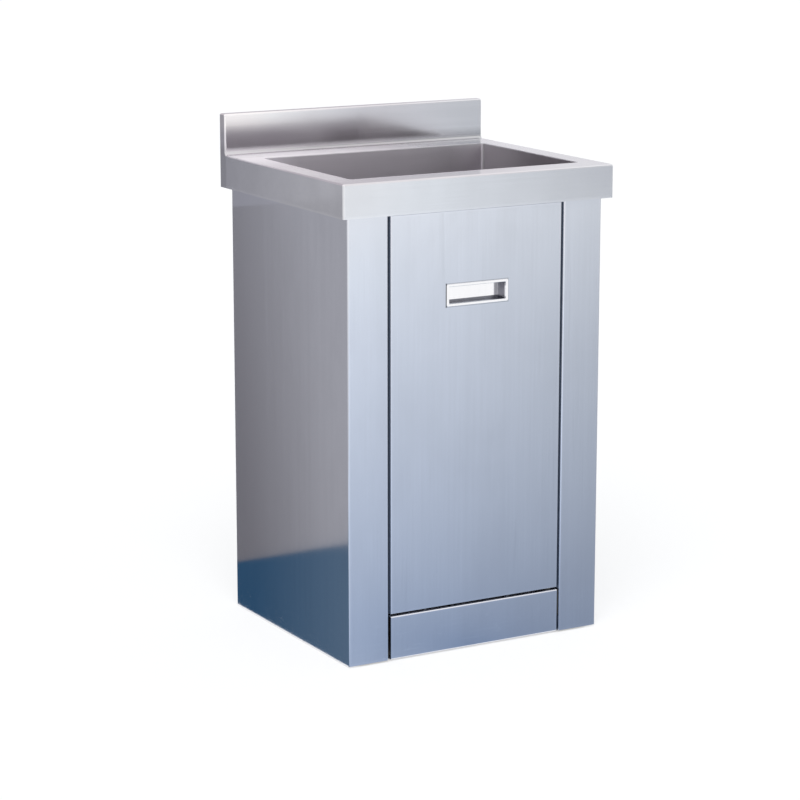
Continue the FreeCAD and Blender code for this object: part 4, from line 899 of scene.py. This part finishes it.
def floor_sheen(tree, place):
    """The lit floor that the front mirrors: dim blue at its foot, paler far out and to its left."""
    offset = vector_calc(tree, "SUBTRACT", place, (0.0, FRONT_FACE, 0.0))
    reach = vector_node(tree, "LENGTH", offset)["Value"]
    aside = vector_node(tree, "DOT_PRODUCT", offset, (0.85, 0.52, 0.0))["Value"]
    width = calc(tree, "MULTIPLY_ADD", reach, 0.108, 0.3)
    slant = calc(tree, "DIVIDE", times(tree, aside, -0.3), width)
    slant = calc(tree, "MINIMUM", calc(tree, "MAXIMUM", slant, -0.4), 0.3)
    paler = scaled(tree, (0.272, 0.256, 0.21), calc(tree, "SQRT", reach))
    level = vector_calc(tree, "ADD", paler, (0.196, 0.272, 0.41))
    lit = scaled(tree, level, calc(tree, "ADD", slant, 1.0))
    return vector_calc(tree, "MINIMUM", lit, (1.0, 1.0, 1.0))


def make_card(name, corners, shade, *tones):
    """A glowing studio card that only shows in gloss, as a painted reflection in the metal."""
    material, tree, surface = bare_material(name + "_paper")
    place = add(tree, "ShaderNodeTexCoord").outputs["Object"]
    glow = add(tree, "ShaderNodeEmission", {"Color": shade(tree, place, *tones), "Strength": 1.0})
    feed(tree, surface, glow.outputs[0])
    card = flat_sheet(name, corners, material)
    card.visible_camera = False
    card.visible_diffuse = False
    card.visible_transmission = False
    card.visible_shadow = False


def make_cards():
    """Glowing cards, seen only in gloss, that paint into the metal the reflection of a floor and
    walls.
    """
    far = CARD_REACH
    make_card("front_card", lying(-1.5, far, -far, -CARD_FRONT), floor_sheen)
    make_card("side_card", lying(-1.3, -CARD_SIDE, -CARD_FRONT, 0.5), side_sheen)
    left_end = (-1.4, 0.489)
    right_end = (-0.3, 0.454)
    make_card(
        "rear_card", upright(left_end, right_end, 0.0, 0.67), fade,
        (0.17, 0.165, 0.18), (0.39, 0.39, 0.415), (-0.38, 0.455, 0.1), (-0.594, 0.465, 0.13))
    make_card(
        "upper_rear_card", upright(left_end, right_end, 0.67, 0.92), fade,
        (0.3, 0.3, 0.33), (0.47, 0.47, 0.5), (-0.38, 0.457, 0.1), (-0.594, 0.464, 0.1))
    make_card(
        "high_card", upright((-1.0, 1.2), (2.6, 1.2), 0.85, 2.2), fade,
        (0.56, 0.53, 0.57), (0.8, 0.79, 0.82), (0.5, 1.2, 0.0), (1.0, 1.2, 0.0))
    make_card(
        "fore_card", upright((0.9, -3.0), (4.5, -3.0), 1.0, 2.6), fade,
        (1.0, 1.0, 1.0), (0.55, 0.56, 0.59), (1.5, -3.0, 0.0), (2.05, -3.0, 0.0))
    make_card(
        "low_fore_card", upright((1.4, -3.0), (4.5, -3.0), 0.27, 0.6), fade,
        (0.92, 0.97, 1.0), (0.53, 0.55, 0.59), (1.4, -3.0, 0.0), (2.15, -3.0, 0.0))
    make_card("back_card", lying(-0.24, far, CARD_FRONT, far), floor_glow)
    make_card("right_card", lying(CARD_SIDE, far, -CARD_FRONT, CARD_FRONT), floor_glow)
    make_card("left_card", lying(-far, -1.3, -far, far, CARD_LIFT / 2), floor_glow)


def make_lights():
    """One broad soft lamp that doesn't show in gloss, and white surroundings."""
    lamp = bpy.data.lights.new("soft_lamp", "SUN")
    lamp.energy = 1.2
    lamp.angle = math.radians(40)
    holder = bpy.data.objects.new("soft_lamp", lamp)
    holder.rotation_euler = (math.radians(38), 0, math.radians(-35))
    holder.visible_glossy = False
    bpy.context.scene.collection.objects.link(holder)
    world = bpy.data.worlds.new("studio")
    world.use_nodes = True
    tree = world.node_tree
    fill = tree.nodes["Background"]
    fill.inputs["Color"].default_value = (0.94, 0.97, 1.0, 1)
    fill.inputs["Strength"].default_value = 0.62
    white = add(tree, "ShaderNodeBackground", {"Color": WHITE, "Strength": 1.0})
    shades = {0: seen_by(tree), 1: fill.outputs[0], 2: white.outputs[0]}
    both = add(tree, "ShaderNodeMixShader", shades)
    feed(tree, tree.nodes["World Output"].inputs["Surface"], both.outputs[0])
    bpy.context.scene.world = world


def make_camera():
    """Camera at the photograph's viewing angle, with plain colours."""
    eye = bpy.data.cameras.new("camera")
    eye.lens = CAMERA_LENS
    holder = bpy.data.objects.new("camera", eye)
    holder.location = CAMERA_PLACE
    holder.rotation_euler = (math.radians(90 - CAMERA_TIP), 0, math.radians(-CAMERA_TURN))
    bpy.context.scene.collection.objects.link(holder)
    bpy.context.scene.camera = holder
    bpy.context.scene.view_settings.view_transform = "Standard"


dress_cad_nodes()
make_screws()
make_nuts()
make_rods_and_bumpers()
make_floor()
make_cards()
make_lights()
make_camera()
